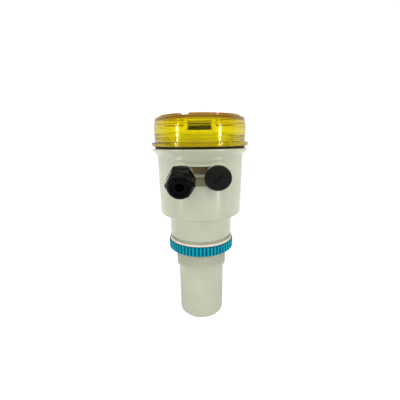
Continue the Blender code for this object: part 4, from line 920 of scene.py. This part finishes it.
def make_floor():
    """Pale floor that bends up into a backdrop."""
    made, tree, shader = node_material("studio_floor")
    shader.inputs["Roughness"].default_value = 0.9
    shader.inputs["Specular IOR Level"].default_value = 0.1
    path = tree.nodes.new("ShaderNodeLightPath")
    behind = gloss_from_behind(tree, "Object")
    gloss = calculate(tree, "MULTIPLY", path.outputs["Is Glossy Ray"], behind)
    unlit = calculate(tree, "SUBTRACT", path.outputs["Is Glossy Ray"], gloss)
    tree.links.new(spread(tree, unlit, 0.90, 0.0, 0.0, 1.0), shader.inputs["Base Color"])
    seen = calculate(tree, "MAXIMUM", seen_directly(tree, path), gloss)
    shader.inputs["Emission Color"].default_value = (1.0, 1.0, 1.0, 1.0)
    tree.links.new(calculate(tree, "MULTIPLY", seen, BACKDROP_GLOW), shader.inputs["Emission Strength"])
    half, front, back, height, bend, bend_steps = 2.2, -2.4, 1.6, 2.4, 0.5, 12
    line = [(front, 0.0)]
    for step in range(bend_steps + 1):
        angle = math.pi / 2 * step / bend_steps
        line.append((back - bend + bend * math.sin(angle), bend - bend * math.cos(angle)))
    line.append((back, height))
    shape = bmesh.new()
    rows = [[shape.verts.new((x, y, z - 0.0002)) for x in (-half, half)] for y, z in line]
    for low, high in zip(rows, rows[1:]):
        shape.faces.new((low[0], low[1], high[1], high[0]))
    floor = shade(add_object("studio_floor", shape), made)


def make_world():
    """Even light for matt surfaces, and the white background for the camera, glass and gloss."""
    world = bpy.data.worlds.new("studio")
    bpy.context.scene.world = world
    world.use_nodes = True
    tree = world.node_tree
    path = tree.nodes.new("ShaderNodeLightPath")
    behind = gloss_from_behind(tree, "Generated")
    light = mixed(tree, path.outputs["Is Glossy Ray"], WORLD_LIGHT, behind)
    background = tree.nodes["Background"]
    background.inputs["Color"].default_value = (1.0, 1.0, 1.0, 1.0)
    tree.links.new(mixed(tree, seen_directly(tree, path), light, 1.0), background.inputs["Strength"])


# Lamps and camera

def add_lamp(name, azimuth, level, distance, width, height, power, elevation=0.0):
    """A soft box that faces the sensor. Azimuth 0 is the camera's side, 90 the right."""
    a, e = math.radians(azimuth), math.radians(elevation)
    towards = Vector((math.sin(a) * math.cos(e), -math.cos(a) * math.cos(e), math.sin(e)))
    data = bpy.data.lights.new(name, "AREA")
    data.shape = "RECTANGLE"
    data.size = width
    data.size_y = height
    data.energy = power
    lamp = bpy.data.objects.new(name, data)
    lamp.location = Vector((0.0, 0.0, level)) + towards * distance
    lamp.rotation_mode = "QUATERNION"
    lamp.rotation_quaternion = towards.to_track_quat("Z", "Y")
    lamp.visible_camera = False
    bpy.context.scene.collection.objects.link(lamp)


CAMERA_PITCH = math.radians(13.39)
CAMERA_ROLL = math.radians(-0.67)
CAMERA_YAW = math.radians(0.8)
CAMERA_PLACE = (-0.65, -286.0, 210.8)
FOCAL_PIXELS = 245.8
FRAME_PIXELS = 400.0


def make_camera():
    """Camera at the photograph's place, turned about the sensor's axis by its yaw."""
    pitched = Vector((0.0, -math.sin(CAMERA_PITCH), -math.cos(CAMERA_PITCH)))
    ahead = Vector((0.0, math.cos(CAMERA_PITCH), -math.sin(CAMERA_PITCH)))
    level = Vector((1.0, 0.0, 0.0))
    right = level * math.cos(CAMERA_ROLL) - pitched * math.sin(CAMERA_ROLL)
    down = level * math.sin(CAMERA_ROLL) + pitched * math.cos(CAMERA_ROLL)
    basis = Matrix((right, -down, -ahead)).transposed().to_4x4()
    data = bpy.data.cameras.new("camera")
    data.sensor_width = 36.0
    data.lens = FOCAL_PIXELS / FRAME_PIXELS * data.sensor_width
    data.clip_start, data.clip_end = 0.01, 20.0
    camera = bpy.data.objects.new("camera", data)
    place = Matrix.Translation(Vector(CAMERA_PLACE) * MM)
    camera.matrix_world = Matrix.Rotation(CAMERA_YAW, 4, "Z") @ place @ basis
    bpy.context.scene.collection.objects.link(camera)
    bpy.context.scene.camera = camera


make_floor()
make_world()
add_lamp("left_strip", -51.5, 0.19, 0.45, 0.04, 0.36, 0.60)
add_lamp("right_strip", 47.0, 0.19, 0.45, 0.04, 0.36, 0.60)
add_lamp("top_box", 0.0, 0.12, 1.2, 0.8, 0.8, 4.5, 75.0)
make_camera()
bpy.context.scene.view_settings.view_transform = "Standard"
